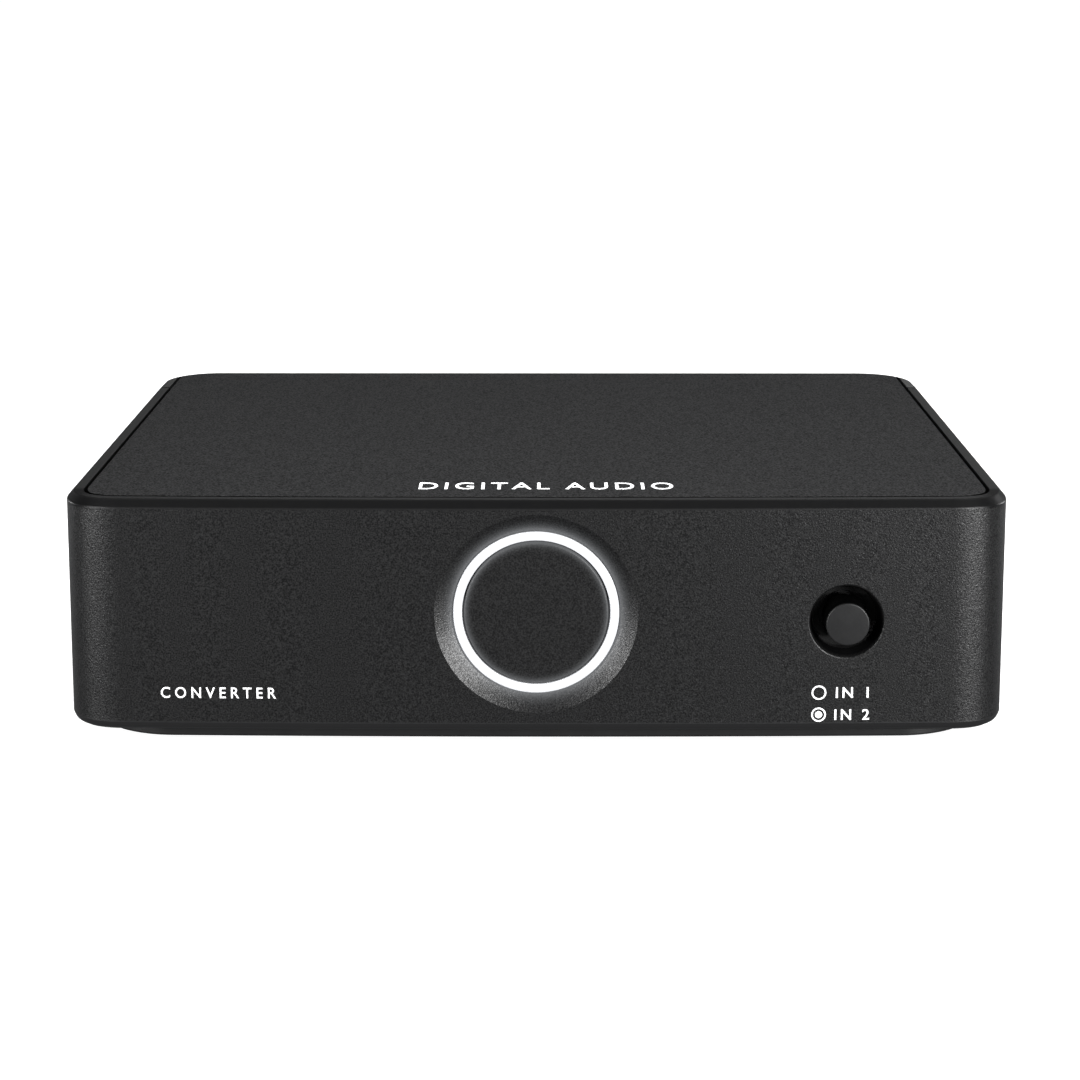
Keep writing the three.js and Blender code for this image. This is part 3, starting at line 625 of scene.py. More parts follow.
def rubber_surface():
    s = Surface("foot_rubber", (0.012, 0.012, 0.012), 0.85, specular=0.3)
    s.vary_color(s.noise(900, detail=4.0), 0.3)
    s.add_bump(s.noise(3000, detail=3.0), 0.5, 0.00006)
    return s.material


def metal_surface(name, color, roughness, stretch=(1, 1, 1), bump=0.1):
    s = Surface(name, color, roughness, metallic=1.0)
    brushed = s.noise(1800, detail=3.0, stretch=stretch)
    s.vary_color(s.noise(250, detail=2.0), 0.08)
    s.vary_roughness(brushed, roughness - 0.06, roughness + 0.1)
    s.add_bump(brushed, bump, 0.00002)
    return s.material


def diffuser_surface():
    """Milky plastic that shines from its front edge only."""
    s = Surface("ring_diffuser", (0.28, 0.28, 0.285), 0.4)
    s.vary_roughness(s.noise(1200), 0.35, 0.45)
    s.vary_color(s.noise(2000), 0.05)
    cloud = s.ranged(s.noise(160, detail=1.0), 0, 1, 0.97, 1.03)
    face = s.span(s.axes()["Y"], FRONT + 1.1, FRONT + 1.35, 0.53, 0.05)
    s.shader.inputs["Emission Color"].default_value = (0.93, 0.955, 1.0, 1)
    s.links.new(s.times(cloud, face), s.shader.inputs["Emission Strength"])
    return s.material


def button_surface():
    """Satin on the face; the sides, which lie in the dark of the hole, are painted darker and less glossy:
    painted shade.
    """
    s = Surface("button_plastic", (0.011, 0.011, 0.0114), 0.42)
    # Painted shade: everything behind the cap's face is painted darker.
    face = s.span(s.axes()["Y"], button_low.y + 0.35, button_low.y + 0.5, 1, 0, True)
    mottle = s.ranged(s.noise(3500), 0.3, 0.7, 0.7, 1)
    s.vary_color(s.times(face, mottle), 0.9, (0.0115, 0.0115, 0.0119))
    s.links.new(s.ranged(face, 0, 1, 0.1, 0.5), s.shader.inputs["Specular IOR Level"])
    s.add_bump(s.noise(5000, detail=2.0), 0.25, 0.00002)
    s.vary_roughness(s.noise(500), 0.38, 0.5)
    return s.material


def board_surface():
    """Green solder mask over copper pour, with the lighter green of bare board between."""
    s = Surface("circuit_board", (0.006, 0.045, 0.022), 0.35)
    copper = s.ranged(s.cells(420), 0.25, 0.3, 1, 0, True)
    s.vary_color(copper, 0.3, (0.012, 0.085, 0.04))
    s.add_bump(copper, 0.4, 0.00003)
    s.vary_roughness(s.noise(800), 0.3, 0.42)
    return s.material


def can_surface():
    """Satin aluminium, faintly drawn from top to bottom."""
    s = Surface("aluminium_can", (0.62, 0.63, 0.65), 0.3, metallic=1.0)
    s.vary_color(s.noise(500, detail=3.0), 0.1)
    s.add_bump(s.noise(2600, detail=2.0, stretch=(1, 1, 6)), 0.2, 0.00002)
    s.vary_roughness(s.noise(700), 0.24, 0.4)
    return s.material


def ink_surface():
    s = Surface("legend_ink", (0.82, 0.82, 0.83), 0.6)
    # Painted light: the print is given a faint glow of its own, though it is no lamp.
    s.shader.inputs["Emission Color"].default_value = (1, 1, 1, 1)
    s.shader.inputs["Emission Strength"].default_value = 0.28
    s.vary_color(s.noise(2500, detail=2.0), 0.06)
    s.add_bump(s.noise(6000), 0.2, 0.00001)
    return s.material


SHELL = shell_surface()
LID = lid_surface()
BASE = satin_surface("base_plastic", (0.0095, 0.0095, 0.0098), 0.42)
MOULDING = satin_surface("socket_moulding", (0.009, 0.009, 0.0095), 0.45)
DARK = satin_surface("guide_moulding", (0.0012, 0.0012, 0.0012), 0.8)
BUTTON = button_surface()
DISC = disc_surface()
WHITE = satin_surface("white_plastic", (0.72, 0.72, 0.70), 0.4)
RED = satin_surface("red_plastic", (0.42, 0.012, 0.012), 0.4)
CHIP = satin_surface("chip_epoxy", (0.012, 0.012, 0.013), 0.6, bump=0.4)
YELLOW = satin_surface("led_encapsulant", (0.85, 0.78, 0.45), 0.3)
RUBBER = rubber_surface()
STEEL = metal_surface("zinc_steel", (0.56, 0.57, 0.59), 0.32)
NICKEL = metal_surface("nickel_plate", (0.66, 0.64, 0.60), 0.2, stretch=(1, 8, 1))
GOLD = metal_surface("gold_plate", (0.83, 0.62, 0.27), 0.25)
DIFFUSER = diffuser_surface()
BOARD = board_surface()
CAN = can_surface()
INK = ink_surface()


# ---- Case ----

def case_block():
    far = LEDGE_INSET - 1
    levels = rounded([
        (far, LOW),
        (LOW_CHAMFER, LOW),
        (0.38, LOW + 0.62),
        (0, LOW + LOW_CHAMFER),
        (0, TOP - TOP_CHAMFER),
        (TOP_CHAMFER, TOP),
        (far, TOP),
    ], [0.3, 1.2, 0.15, 0.5, 0.2])
    return upright(plan, levels)


def pocket_levels(inset, grow, rim):
    """A straight wall up to the top face, eased at the rim; grow is its way outwards."""
    arc_points = [
        (inset + grow * rim * (1 - math.cos(a)), TOP - rim + rim * math.sin(a))
        for a in [math.radians(d) for d in (0, 20, 40, 60, 80)]
    ]
    last = arc_points[-1][0]
    return [(inset, LID_LOW), *arc_points, (last, TOP + SPARE)]


def hollow_case():
    """The case with its ledges, the lid's pocket and the base plate's opening."""
    def passage(_):
        return plan(LEDGE_INSET, LEDGE_CORNER, LEDGE_CORNER)

    base_hole = BASE_INSET - BASE_GAP
    return cut(
        case_block(),
        upright(passage, [(0, LOW - SPARE), (0, TOP + SPARE)]),
        upright(plan, [(WALL, FLOOR_LEDGE_TOP), (WALL, LID_LEDGE_LOW)]),
        upright(pocket_plan, pocket_levels(LID_INSET - LID_GAP, -1, RIM)),
        upright(base_plan, [(base_hole, LOW - SPARE), (base_hole, BASE_TOP)]),
    )

def dish_cutter():
    """The shallow cone round the ring, and the hole that the ring comes through."""
    outside = DISH_RADIUS + 0.5
    line = rounded([
        (RING_HOLE, WALL + SPARE),
        (RING_HOLE, DISH_DEPTH),
        (DISH_FLOOR_RADIUS, DISH_DEPTH),
        (DISH_RADIUS, 0),
        (outside, -0.02),
    ], [0.05, 0.1, 0.12])
    profile = [(0, WALL + SPARE), *line, (outside, -SPARE), (0, -SPARE)]
    dish = turned(profile, (0, FRONT, RING_Z), steps=128)
    for v in dish.data.vertices:
        v.co.y += face_y(v.co.x) - FRONT
    return dish

def button_hole_cutter():
    """The tapered hole round the button, square to the bowed face."""
    deep = 5.0
    outside = BUTTON_HOLE + 0.7
    slope = (BUTTON_HOLE - BUTTON_HOLE_INNER) / BUTTON_HOLE_TAPER
    line = [(BUTTON_HOLE - slope * deep, deep), (BUTTON_HOLE, 0), (outside, -0.015)]
    profile = [(0, deep), *rounded(line, 0.5, 6), (outside, -SPARE), (0, -SPARE)]
    hole = turned(profile, (0, 0, 0))
    turn = Matrix.Rotation(BUTTON_X / BOW_RADIUS, 4, "Z")
    hole.data.transform(Matrix.Translation((BUTTON_X, face_y(BUTTON_X), BUTTON_Z)) @ turn)
    return hole

def make_front_shell():
    shell = hollow_case()
    wide = SIDE + SPARE
    keep(shell, block((-wide, FRONT - SPARE, 0), (wide, SEAM_FRONT, TOP + SPARE)))
    cut(shell, dish_cutter(), button_hole_cutter())
    for x, z in BOARD_POSTS:
        join(shell, turned(rod(BOARD_POST_RADIUS, 2.0, 13.0), (x, FRONT, z), steps=32))
        cut(shell, turned(rod(BOARD_POST_BORE, 7.0, 15.0), (x, FRONT, z), steps=24))
    finish_piece(shell, "shell_front_moulding", SHELL, "enclosure", ["front_shell"])

def rounded_rectangle(half_x, half_z, corner, x, z):
    """Points round a rectangle in x and z."""
    points = []
    for sx, sz, start in ((1, 1, 0), (-1, 1, 1), (-1, -1, 2), (1, -1, 3)):
        centre_x = x + sx * (half_x - corner)
        centre_z = z + sz * (half_z - corner)
        points += arc(centre_x, centre_z, corner, start * math.pi / 2, (start + 1) * math.pi / 2, 8)
    return points


def tunnel(half_x, half_z, corner, x, z, levels):
    """A solid run backwards, its outline growing by grow through (grow, depth) levels."""
    rings = []
    for grow, depth in levels:
        outline = rounded_rectangle(half_x + grow, half_z + grow, corner + grow, x, z)
        rings.append([(px, FRONT + depth, pz) for px, pz in outline])
    return skin(rings)


def panel_cutter(half_x, half_z, corner, x, z):
    """A cut-out through the rear wall with an eased outer rim."""
    rear = REAR - FRONT
    levels = rounded([(0, rear - SPARE), (0, rear), (0.6, rear + 0.01)], EDGE) + [(0.6, rear + SPARE)]
    return tunnel(half_x, half_z, corner, x, z, levels)


def round_panel_cutter(radius, x, z):
    rear = REAR - FRONT
    rim = rounded([(radius, rear - SPARE), (radius, rear), (radius + 0.6, rear + 0.01)], EDGE)
    profile = [(0, rear - SPARE), *rim, (radius + 0.6, rear + SPARE), (0, rear + SPARE)]
    return turned(profile, (x, FRONT, z))


def socket_middle(low, high):
    return (low.x + high.x) / 2, (low.z + high.z) / 2


def make_rear_cap():
    cap = hollow_case()
    wide = SIDE + SPARE
    keep(cap, block((-wide, SEAM_REAR, 0), (wide, REAR + SPARE, TOP + SPARE)))
    for side in (-1, 1):
        for outer, start in ((TONGUE_OUTER, SEAM_REAR - TONGUE_REACH), (TONGUE_ROOT, SEAM_REAR)):
            x0, x1 = sorted((side * (SIDE - outer), side * (SIDE - TONGUE_INNER)))
            join(cap, block((x0, start, TONGUE_LOW), (x1, SEAM_REAR + SPARE, TONGUE_HIGH)))
    lid_side = SIDE - LID_INSET
    cut(cap, block((-lid_side, REAR - 1.6, LID_LOW - 0.3), (lid_side, REAR + SPARE, LID_LOW + 1)))
    for channel in ("left", "right"):
        x, _ = socket_middle(*box_mm(f"phono_barrel_{channel}"))
        cut(cap, round_panel_cutter(6.15, x, PHONO_Z))
    for low, high in ((optical_low, optical_high), (power_low, power_high), (data_low, data_high)):
        half_x, half_z = (high.x - low.x) / 2 + SOCKET_GAP, (high.z - low.z) / 2 + SOCKET_GAP
        corner = half_z - 0.01 if low is data_low else SOCKET_CORNER
        cut(cap, panel_cutter(half_x, half_z, corner, *socket_middle(low, high)))
    finish_piece(cap, "shell_rear_moulding", SHELL, "enclosure", ["rear_cap"])

def post_places():
    return [(side * POST_X, FRONT + depth) for side in (-1, 1) for depth in POST_DEPTHS]


def make_top_cover():
    cover = keep(case_block(), upright(open_plan, pocket_levels(LID_INSET, 1, LID_RIM)))
    for x, y in post_places():
        join(cover, turned(rod(4.0, 11.0, LID_LOW + 1), (x, y, 0), steps=48, axis="Z"))
        cut(cover, turned(rod(1.6, 10.0, 27.0), (x, y, 0), steps=32, axis="Z"))
    finish_piece(cover, "lid_moulding", LID, "enclosure", ["top_cover"])


def make_base_plate():
    low, high = base_low.z, BASE_TOP
    levels = rounded([
        (BASE_INSET + 3, low),
        (BASE_INSET, low),
        (BASE_INSET, high),
        (BASE_INSET + 3, high),
    ], 0.35)
    plate = upright(base_plan, levels)
    way = [
        (0, 0), (3.6, 0), (3.6, low - 0.02), (3.2, low + 0.3), (3.2, 5), (1.8, 5), (1.8, 10), (0, 10),
    ]
    for x, y in post_places():
        join(plate, turned(rod(4.5, high - 1, base_high.z), (x, y, 0), steps=48, axis="Z"))
        cut(plate, turned(way, (x, y, 0), steps=48, axis="Z"))
    for side in (-1, 1):
        for depth in FOOT_DEPTHS:
            place = (side * FOOT_X, FRONT + depth, 0)
            cut(plate, turned(rod(5.8, 0, low + 0.5), place, steps=64, axis="Z"))
    finish_piece(plate, "base_moulding", BASE, "enclosure", ["base_plate"])


def make_feet():
    line = [(3.4, 0.12), (3.6, 0.0), (5.1, 0.0), (5.5, 0.4), (5.5, 2.2), (0, 2.2)]
    profile = [(0, 0.12), *rounded(line, 0.15)]
    for index in range(1, 5):
        low, high = box_mm(f"foot_{index}")
        place = ((low.x + high.x) / 2, (low.y + high.y) / 2, low.z)
        foot = turned(profile, place, axis="Z")
        finish_piece(foot, f"rubber_foot_{index}", RUBBER, "enclosure", [f"foot_{index}"])

def make_case_screws():
    for index in range(1, 5):
        low, high = box_mm(f"case_screw_{index}")
        x, y = (low.x + high.x) / 2, (low.y + high.y) / 2
        start, end = low.z, high.z
        head = rounded([
            (0, start), (1.9, start), (2.8, start + 0.8), (2.8, start + 2.2), (1.45, start + 2.2),
        ], 0.35)
        threads = []
        pitch = (end - 1.2 - start - 3.0) / SCREW_TURNS
        for turn in range(SCREW_TURNS):
            z = start + 3.0 + turn * pitch
            threads += [(1.18, z), (1.45, z + pitch * 0.45), (1.18, z + pitch * 0.9)]
        profile = [*head[:-1], (1.45, start + 2.3), *threads, (0, end)]
        screw = turned(profile, (x, y, 0), steps=40, axis="Z")
        for half_x, half_y in ((1.6, 0.4), (0.4, 1.6)):
            slot_low = (x - half_x, y - half_y, start - 1)
            cut(screw, block(slot_low, (x + half_x, y + half_y, start + 1.3)))
        finish_piece(screw, f"pan_screw_{index}", STEEL, "enclosure", [f"case_screw_{index}"])

# ---- Ring, disc and button ----

def make_ring():
    face = ring_low.y - FRONT
    inner, outer, flange = 11.3, RING_RADIUS, 13.7
    rear = ring_high.y - FRONT
    line = [
        (inner, 6.0), (inner, face), (outer, face), (outer, 3.15), (flange, 3.15), (flange, 4.6),
        (outer, 4.6), (outer, rear), (inner, rear), (inner, 6.0),
    ]
    ring = turned(rounded(line, 0.15)[:-1], (0, FRONT, RING_Z), steps=128)
    finish_piece(ring, "glow_ring", DIFFUSER, "enclosure", ["light_ring"])
    face = disc_low.y - FRONT
    rear = disc_high.y - FRONT
    line = [(0, face), (11.0, face), (11.0, rear), (9.8, rear), (9.8, 3.0), (0, 3.0)]
    disc = turned(rounded(line, 0.3), (0, FRONT, RING_Z), steps=128)
    finish_piece(disc, "ring_disc", DISC, "enclosure", ["ring_cap"])


def make_button():
    face = button_low.y - FRONT
    rear = button_high.y - FRONT
    radius = (button_high.x - button_low.x) / 2
    front = rounded([(0, face), (radius, face), (radius, rear)], 0.24, 6)
    profile = [*front, (1.75, rear), (1.75, 1.2), (0, 1.2)]
    cap = turned(profile, (BUTTON_X, FRONT, BUTTON_Z))
    finish_piece(cap, "push_button_cap", BUTTON, "button", ["input_button"])
    line = [
        (5.2, 4.2), (5.2, 3.75), (7.4, 3.75), (7.4, 4.6), (6.2, 4.6), (6.2, 6.1), (3.6, 6.1),
        (3.6, 5.4), (5.2, 5.4), (5.2, 4.2),
    ]
    guide = turned(rounded(line, 0.12)[:-1], (BUTTON_X, FRONT, BUTTON_Z))
    finish_piece(guide, "button_bush", DARK, "enclosure", ["button_guide"])


def make_return_spring():
    """A coil spring round the button's axis, with a mesh of its own."""
    low, high = box_mm("switch_spring")
    wire = 0.16
    radius = (high.x - low.x) / 2 - wire
    steps = SPRING_TURNS * 24
    rings = []
    for i in range(steps + 1):
        turn = 2 * math.pi * SPRING_TURNS * i / steps
        along = low.y + wire + (high.y - low.y - 2 * wire) * i / steps
        ring = []
        for out, y in arc(radius, along, wire, 0, 1.75 * math.pi, 7):
            ring.append((BUTTON_X + out * math.cos(turn), y, BUTTON_Z + out * math.sin(turn)))
        rings.append(ring)
    spring = finish_piece(skin(rings), "return_spring", STEEL, "enclosure", ["switch_spring"], 60)
    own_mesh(spring)


# ---- Rear sockets ----

def make_phono_sockets():
    housing = block(block_low, (block_high.x, FRONT + 106.8, block_high.z), 0.4)
    boss_end = block_high.y - FRONT
    for channel, core_material, core_slot in (("left", WHITE, "white"), ("right", RED, "red")):
        node = f"phono_barrel_{channel}"
        low, high = box_mm(node)
        x, z = (low.x + high.x) / 2, PHONO_Z
        place = (x, FRONT, z)
        join(housing, turned(rod(5.8, 97.0, boss_end, 0.3), place))
        cut(housing, turned(rod(4.45, 103.6, boss_end + 1), place))
        barrel = turned(tube(3.5, 4.15, low.y - FRONT, high.y - FRONT, 0.2), place)
        finish_piece(barrel, f"phono_sleeve_{channel}", NICKEL, "enclosure", [node])
        node = f"phono_core_{channel}"
        low, high = box_mm(node)
        core = turned(tube(1.75, 3.2, low.y - FRONT, high.y - FRONT, 0.25), place)
        finish_piece(core, f"phono_insulator_{channel}", core_material, "enclosure", [node])
        node = f"phono_contact_{channel}"
        low, high = box_mm(node)
        start, end = low.y - FRONT, high.y - FRONT
        line = [(0, start), (1.45, start), (1.45, end), (1.1, end), (1.1, 107.0), (0, 107.0)]
        tip = turned(rounded(line, 0.12), place, steps=48)
        for half_x, half_z in ((0.18, 2.0), (2.0, 0.18)):
            slit_low = (x - half_x, FRONT + 112, z - half_z)
            cut(tip, block(slit_low, (x + half_x, FRONT + end + 1, z + half_z)))
        finish_piece(tip, f"phono_tip_{channel}", GOLD, "enclosure", [node])
    finish_piece(housing, "phono_housing", MOULDING, "enclosure", ["phono_block"])

def make_optical_input():
    x, _ = socket_middle(optical_low, optical_high)
    housing = block(optical_low, optical_high, 0.3)
    rear = optical_high.y - FRONT
    port_levels = rounded([(0, 99.2), (0, rear), (0.4, rear + 0.01)], 0.2) + [(0.4, rear + 1)]
    cut(housing, tunnel(4.3, 4.4, 0.3, x, SOCKET_Z, port_levels))
    cut(housing, turned(rod(2.5, 94.0, 100.0), (x, FRONT, SOCKET_Z), steps=48))
    pin_low, pin_high = box_mm("shutter_pin")
    pin_y, pin_z = (pin_low.y + pin_high.y) / 2, (pin_low.z + pin_high.z) / 2
    cut(housing, turned(rod(0.55, -7, 7), (x, pin_y, pin_z), steps=32, axis="X"))
    finish_piece(housing, "optical_body", MOULDING, "enclosure", ["optical_housing"])
    flap_low, flap_high = box_mm("optical_shutter")
    thin = 0.35
    flap_top = 18.21
    near, far = pin_y - thin, pin_y + thin
    flap = block((flap_low.x, near, flap_low.z), (flap_high.x, far, flap_top), 0.12)
    join(flap, block((x - 3.9, near, flap_top - 1), (x + 0.9, far, pin_z)))
    join(flap, turned(rod(0.95, -3.9, 0.9), (x, pin_y, pin_z), steps=40, axis="X"))
    cut(flap, turned(rod(0.55, -5, 2), (x, pin_y, pin_z), steps=32, axis="X"))
    cut(flap, block((x - 2.4, far - 0.15, flap_low.z + 1.2), (x + 2.4, far + 1, flap_top - 1.6)))
    finish_piece(flap, "optical_flap", MOULDING, "shutter", ["optical_shutter"])

def make_data_socket():
    x, z = socket_middle(data_low, data_high)
    half_x, half_z = (data_high.x - data_low.x) / 2, (data_high.z - data_low.z) / 2
    front, rear = data_low.y - FRONT, data_high.y - FRONT
    levels = rounded([(-0.4, front), (0, front), (0, rear), (-0.15, rear)], 0.1)
    shell = tunnel(half_x, half_z, half_z - 0.01, x, z, levels)
    levels = rounded([(0, 102.0), (0, rear), (0.15, rear + 0.01)], 0.08) + [(0.15, rear + 1)]
    cut(shell, tunnel(half_x - 0.3, half_z - 0.3, half_z - 0.31, x, z, levels))
    finish_piece(shell, "data_port_shell", STEEL, "enclosure", ["data_socket_shell"])
    tongue_low, tongue_high = box_mm("data_socket_tongue")
    tongue = block(tongue_low, tongue_high, 0.12)
    finish_piece(tongue, "data_port_tongue", MOULDING, "enclosure", ["data_socket_tongue"])
    pads = bmesh.new()
    for side in (-1, 1):
        for index in range(12):
            pad_x = x + (index - 5.5) * 0.5
            pad_z = z + side * (tongue_high.z - tongue_low.z) / 2
            pad_low = (pad_x - 0.13, tongue_high.y - 3.2, pad_z - 0.03)
            pad = block(pad_low, (pad_x + 0.13, tongue_high.y - 0.5, pad_z + 0.03))
            pads.from_mesh(pad.data)
            bpy.data.objects.remove(pad)
    finish_piece(new_object(pads), "data_port_pads", GOLD, "enclosure")

def make_power_socket():
    x, _ = socket_middle(power_low, power_high)
    place = (x, FRONT, SOCKET_Z)
    housing = block(power_low, power_high, 0.35)
    rear = power_high.y - FRONT
    rim = rounded([(3.2, 100.0), (3.2, rear), (3.9, rear + 0.01)], 0.3)
    cut(housing, turned([(0, 100.0), *rim, (3.9, rear + 1), (0, rear + 1)], place))
    groove = [(4.05, rear - 0.25), (4.25, rear - 0.25), (4.25, rear + 1), (4.05, rear + 1)]
    cut(housing, turned(groove, place))
    finish_piece(housing, "power_jack_body", MOULDING, "enclosure", ["power_socket"])
    _, pin_high = box_mm("power_pin")
    end = pin_high.y - FRONT
    line = [(0, 100.0), (1.0, 100.0), (1.0, end - 0.5), (0.55, end), (0, end)]
    pin = turned(rounded(line, 0.2), place, steps=48)
    finish_piece(pin, "power_jack_pin", NICKEL, "enclosure", ["power_pin"])

# ---- Printed legends ----

INK_LIFT = 0.015
INK_THICK = 0.05
CAPITAL_SHARE = 0.73  # a capital's height against the font's size


def flat_text(body, height, wide, spacing, bold):
    """Lettering as a flat mesh in millimetres, its baseline at zero and its middle at x = 0."""
    curve = bpy.data.curves.new("lettering", "FONT")
    curve.body = body
    curve.size = height / CAPITAL_SHARE
    curve.space_character = spacing
    curve.offset = bold
    curve.resolution_u = 6
    lettering = bpy.data.objects.new("lettering", curve)
    bpy.context.scene.collection.objects.link(lettering)
    bpy.context.view_layer.update()
    mesh = bpy.data.meshes.new_from_object(lettering.evaluated_get(bpy.context.evaluated_depsgraph_get()))
    bpy.data.objects.remove(lettering)
    xs = [v.co.x for v in mesh.vertices]
    ys = [v.co.y for v in mesh.vertices]
    middle = (min(xs) + max(xs)) / 2
    scale = height / (max(ys) - min(ys))
    for v in mesh.vertices:
        v.co = ((v.co.x - middle) * wide * scale, (v.co.y - min(ys)) * scale, 0)
    return mesh


def print_mesh(mesh, to_surface, nudge):
    """Lays a flat mesh on a surface and gives it the thickness of ink."""
    bm = bmesh.new()
    bm.from_mesh(mesh)
    bmesh.ops.remove_doubles(bm, verts=bm.verts, dist=0.0005)
    flat = bm.faces[:]
    grown = bmesh.ops.extrude_face_region(bm, geom=flat)
    raised = {g for g in grown["geom"] if isinstance(g, bmesh.types.BMVert)}
    for v in bm.verts:
        lift = INK_LIFT if v in raised else INK_LIFT - INK_THICK
        v.co = Vector(to_surface(v.co.x, v.co.y)) + Vector(nudge) * lift
    return new_object(bm)


def ring_mesh(outer, inner, steps=64):
    bm = bmesh.new()
    turns = [2 * math.pi * i / steps for i in range(steps)]
    rim = [bm.verts.new((outer * math.cos(t), outer * math.sin(t), 0)) for t in turns]
    if inner:
        core = [bm.verts.new((inner * math.cos(t), inner * math.sin(t), 0)) for t in turns]
        for i in range(steps):
            after = (i + 1) % steps
            bm.faces.new((rim[i], rim[after], core[after], core[i]))
    else:
        bm.faces.new(rim)
    mesh = bpy.data.meshes.new("ring")
    bm.to_mesh(mesh)
    bm.free()
    return mesh


def on_front(x, z):
    """A map from flat lettering to the bowed front face."""
    return lambda u, v: (x + u, face_y(x + u), z + v)


def on_lid(x, depth):
    """A map from flat lettering to the lid, read from the front."""
    return lambda u, v: (x + u, FRONT + depth + v, TOP)


def make_legends():
    forward, up = (0, -1, 0), (0, 0, 1)
    legends = [
        ("legend_left", flat_text("CONVERTER", 1.74, 0.92, 1.55, 0.02), on_front(-48.6, 8.9), forward),
        ("legend_input_1", flat_text("IN 1", 1.7, 1.0, 1.35, 0.03), on_front(48.3, 9.05), forward),
        ("legend_input_2", flat_text("IN 2", 1.7, 1.0, 1.35, 0.03), on_front(48.3, 5.55), forward),
        ("legend_mark_1", ring_mesh(1.13, 0.88), on_front(43.2, 9.9), forward),
        ("legend_mark_2", ring_mesh(1.13, 0.88), on_front(43.2, 6.4), forward),
        ("legend_dot", ring_mesh(0.55, 0), on_front(43.2, 6.4), forward),
        ("legend_lid", flat_text("DIGITAL AUDIO", 4.5, 0.72, 1.25, 0.03), on_lid(1.5, 8.25), up),
    ]
    for name, mesh, to_surface, nudge in legends:
        piece = print_mesh(mesh, to_surface, nudge)
        finish_piece(piece, name, INK, "enclosure")


# ---- CAD nodes that keep their shape ----

def finish_cad_nodes():
    finishes = {
        "board": BOARD, "chip": CHIP, "can": CAN, "led": YELLOW, "steel": STEEL,
        "moulding": MOULDING, "white": WHITE, "nickel": NICKEL, "gold": GOLD,
    }
    slots = {part["node"]: part["material_slot"] for part in frame["record"]["subparts"]}
    for name, node in frame["nodes"].items():
        if node.hide_render:
            continue
        node.data.materials.clear()
        node.data.materials.append(finishes[slots[name]])
        for face in node.data.polygons:
            face.material_index = 0
        node.data.shade_smooth()
        node.data.set_sharp_from_angle(angle=math.radians(30))


# ---- Stage, lights and camera ----

def make_floor():
    bpy.ops.mesh.primitive_plane_add(size=60, location=(0, 0, 0))
    floor = bpy.context.object
    floor.name = "floor"
    s = Surface("floor_paint", (0.4, 0.4, 0.4), 0.9, specular=0.1)
    s.vary_color(s.noise(3, detail=2.0), 0.01)
    s.shader.inputs["Emission Color"].default_value = (1, 1, 1, 1)
    axes = s.axes()
    away = s.math("ADD", s.times(axes["X"], axes["X"]), s.times(axes["Y"], axes["Y"]))
    s.links.new(s.ranged(away, 0.1, 4.0, 0.93, 1.0), s.shader.inputs["Emission Strength"])
    floor.data.materials.append(s.material)
    floor.visible_glossy = False
    floor.visible_diffuse = False


def make_world():
    """White to the camera; to all that it lights, dim and darker towards the top."""
    world = bpy.data.worlds.new("studio")
    bpy.context.scene.world = world
    world.use_nodes = True
    nodes, links = world.node_tree.nodes, world.node_tree.links
    place = nodes.new("ShaderNodeTexCoord")
    axes = nodes.new("ShaderNodeSeparateXYZ")
    links.new(place.outputs["Generated"], axes.inputs["Vector"])
    fade = nodes.new("ShaderNodeMapRange")
    fade.inputs["From Min"].default_value = 0.25
    fade.inputs["From Max"].default_value = 0.8
    fade.inputs["To Min"].default_value = 0.13
    fade.inputs["To Max"].default_value = 0.03
    links.new(axes.outputs["Z"], fade.inputs["Value"])
    dim = nodes["Background"]
    dim.inputs["Color"].default_value = (0.95, 0.97, 1.0, 1)
    links.new(fade.outputs["Result"], dim.inputs["Strength"])
    white = nodes.new("ShaderNodeBackground")
    white.inputs["Color"].default_value = (1, 1, 1, 1)
    white.inputs["Strength"].default_value = 1.0
    path = nodes.new("ShaderNodeLightPath")
    mix = nodes.new("ShaderNodeMixShader")
    links.new(path.outputs["Is Camera Ray"], mix.inputs["Fac"])
    links.new(dim.outputs["Background"], mix.inputs[1])
    links.new(white.outputs["Background"], mix.inputs[2])
    links.new(mix.outputs["Shader"], nodes["World Output"].inputs["Surface"])


def add_softbox(name, azimuth, elevation, distance, width, height, power):
    """A rectangular light aimed at the case; azimuth 0 is in front of it and 90 to its right."""
    data = bpy.data.lights.new(name, "AREA")
    data.shape = "RECTANGLE"
    data.size, data.size_y = width, height
    data.energy = power
    light = bpy.data.objects.new(name, data)
    a, e = math.radians(azimuth), math.radians(elevation)
    away = Vector((math.sin(a) * math.cos(e), -math.cos(a) * math.cos(e), math.sin(e)))
    target = Vector((0, 0, 0.02))
    light.location = target + away * distance
    light.rotation_euler = (-away).to_track_quat("-Z", "Y").to_euler()
    bpy.context.scene.collection.objects.link(light)
    return light


def spare(light, *names):
    """Keeps a light off the named pieces."""
    spared = bpy.data.collections.new(f"{light.name}_spares")
    light.light_linking.receiver_collection = spared
    for name in names:
        spared.objects.link(bpy.data.objects[name])
    for item in spared.collection_objects:
        item.light_linking.link_state = "EXCLUDE"


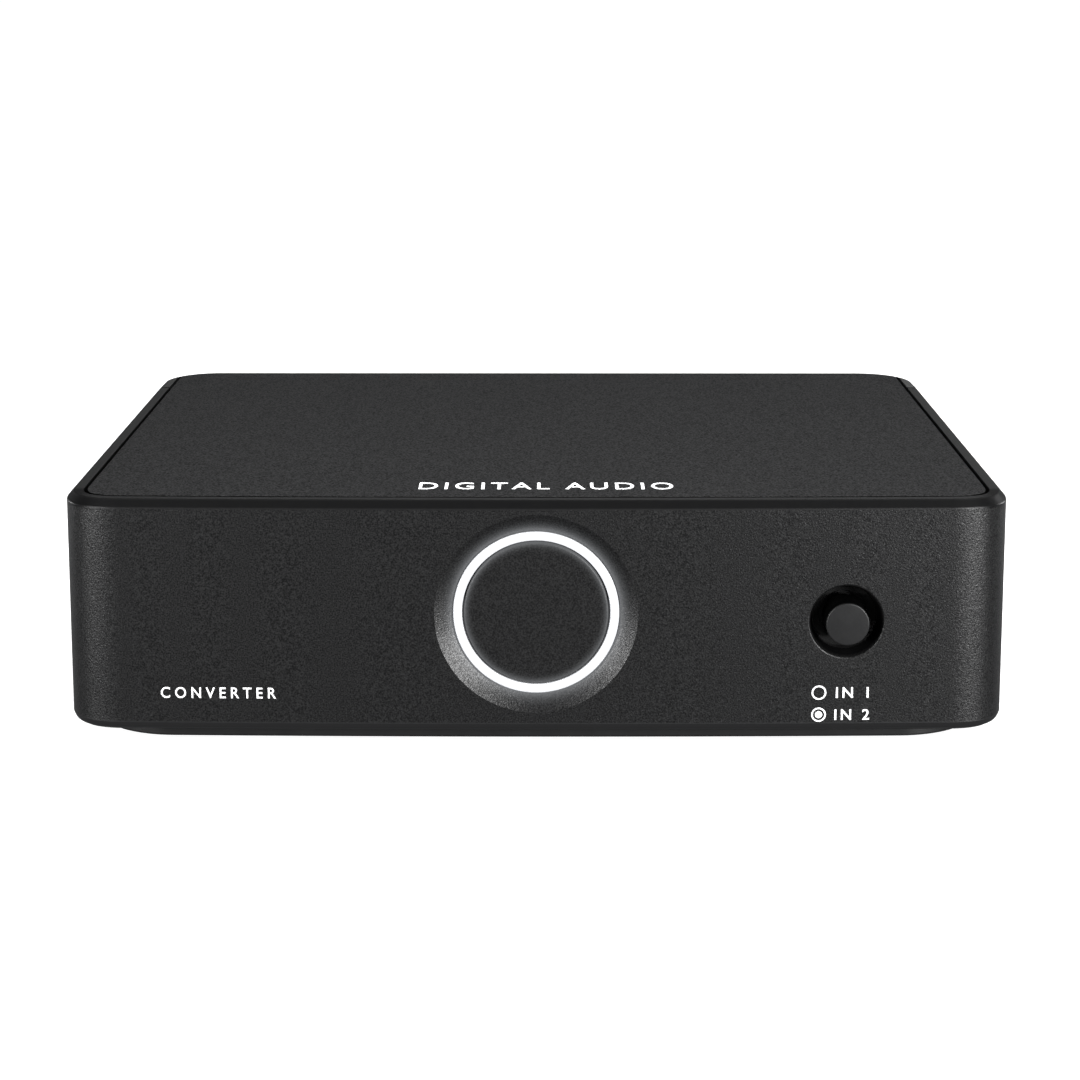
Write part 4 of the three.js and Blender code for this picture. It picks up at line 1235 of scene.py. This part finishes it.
def make_lights():
    """Lights from the front corners for the walls, from above for the lid, and from behind for the rear."""
    walls = [
        add_softbox("key", 42, 24, 1.2, 0.28, 0.8, 9.0),
        add_softbox("key_low", 40, 4, 1.2, 0.44, 0.14, 9.0),
        add_softbox("fill", -48, 24, 1.2, 0.35, 0.8, 5.5),
        add_softbox("fill_low", -50, 4, 1.2, 0.7, 0.14, 6.0),
        add_softbox("rim_right", 120, 5, 1.2, 0.3, 0.16, 5.0),
        add_softbox("rim_left", -118, 5, 1.2, 0.4, 0.16, 4.5),
    ]
    for light in walls:
        spare(light, "lid_moulding")
    add_softbox("side", 122, 20, 1.2, 0.25, 0.3, 1.5)
    spare(add_softbox("back", 172, 40, 1.3, 0.9, 0.4, 2.6), "lid_moulding")
    lid_light = add_softbox("overhead", 20, 62, 0.55, 0.5, 0.4, 6.0)
    spare(lid_light, "shell_front_moulding", "ring_disc", "push_button_cap")
    for light in (
        add_softbox("rear_key", 150, 32, 1.2, 0.5, 0.5, 7.0),
        add_softbox("rear_fill", -145, 26, 1.2, 0.5, 0.5, 4.0),
    ):
        spare(light, "lid_moulding", "shell_front_moulding")


CAMERA_PLACE = Vector((0.00143, -0.34939, 0.12272))  # from the front face's foremost point
CAMERA_PITCH = 9.585
CAMERA_YAW = 0.139
CAMERA_LENS = 79.33
CAMERA_SHIFT = -0.18


def make_camera():
    data = bpy.data.cameras.new("camera")
    data.lens = CAMERA_LENS
    data.sensor_width = 36
    data.shift_y = CAMERA_SHIFT
    data.clip_start = 0.01
    camera = bpy.data.objects.new("camera", data)
    camera.location = CAMERA_PLACE + Vector((0, FRONT * MM, 0))
    camera.rotation_euler = (math.radians(90 - CAMERA_PITCH), 0, math.radians(CAMERA_YAW))
    bpy.context.scene.collection.objects.link(camera)
    bpy.context.scene.camera = camera


make_front_shell()
make_rear_cap()
make_top_cover()
make_base_plate()
make_feet()
make_case_screws()
make_ring()
make_button()
make_return_spring()
make_phono_sockets()
make_optical_input()
make_data_socket()
make_power_socket()
make_legends()
finish_cad_nodes()
make_floor()
make_world()
make_lights()
make_camera()
bpy.context.scene.view_settings.view_transform = "Standard"
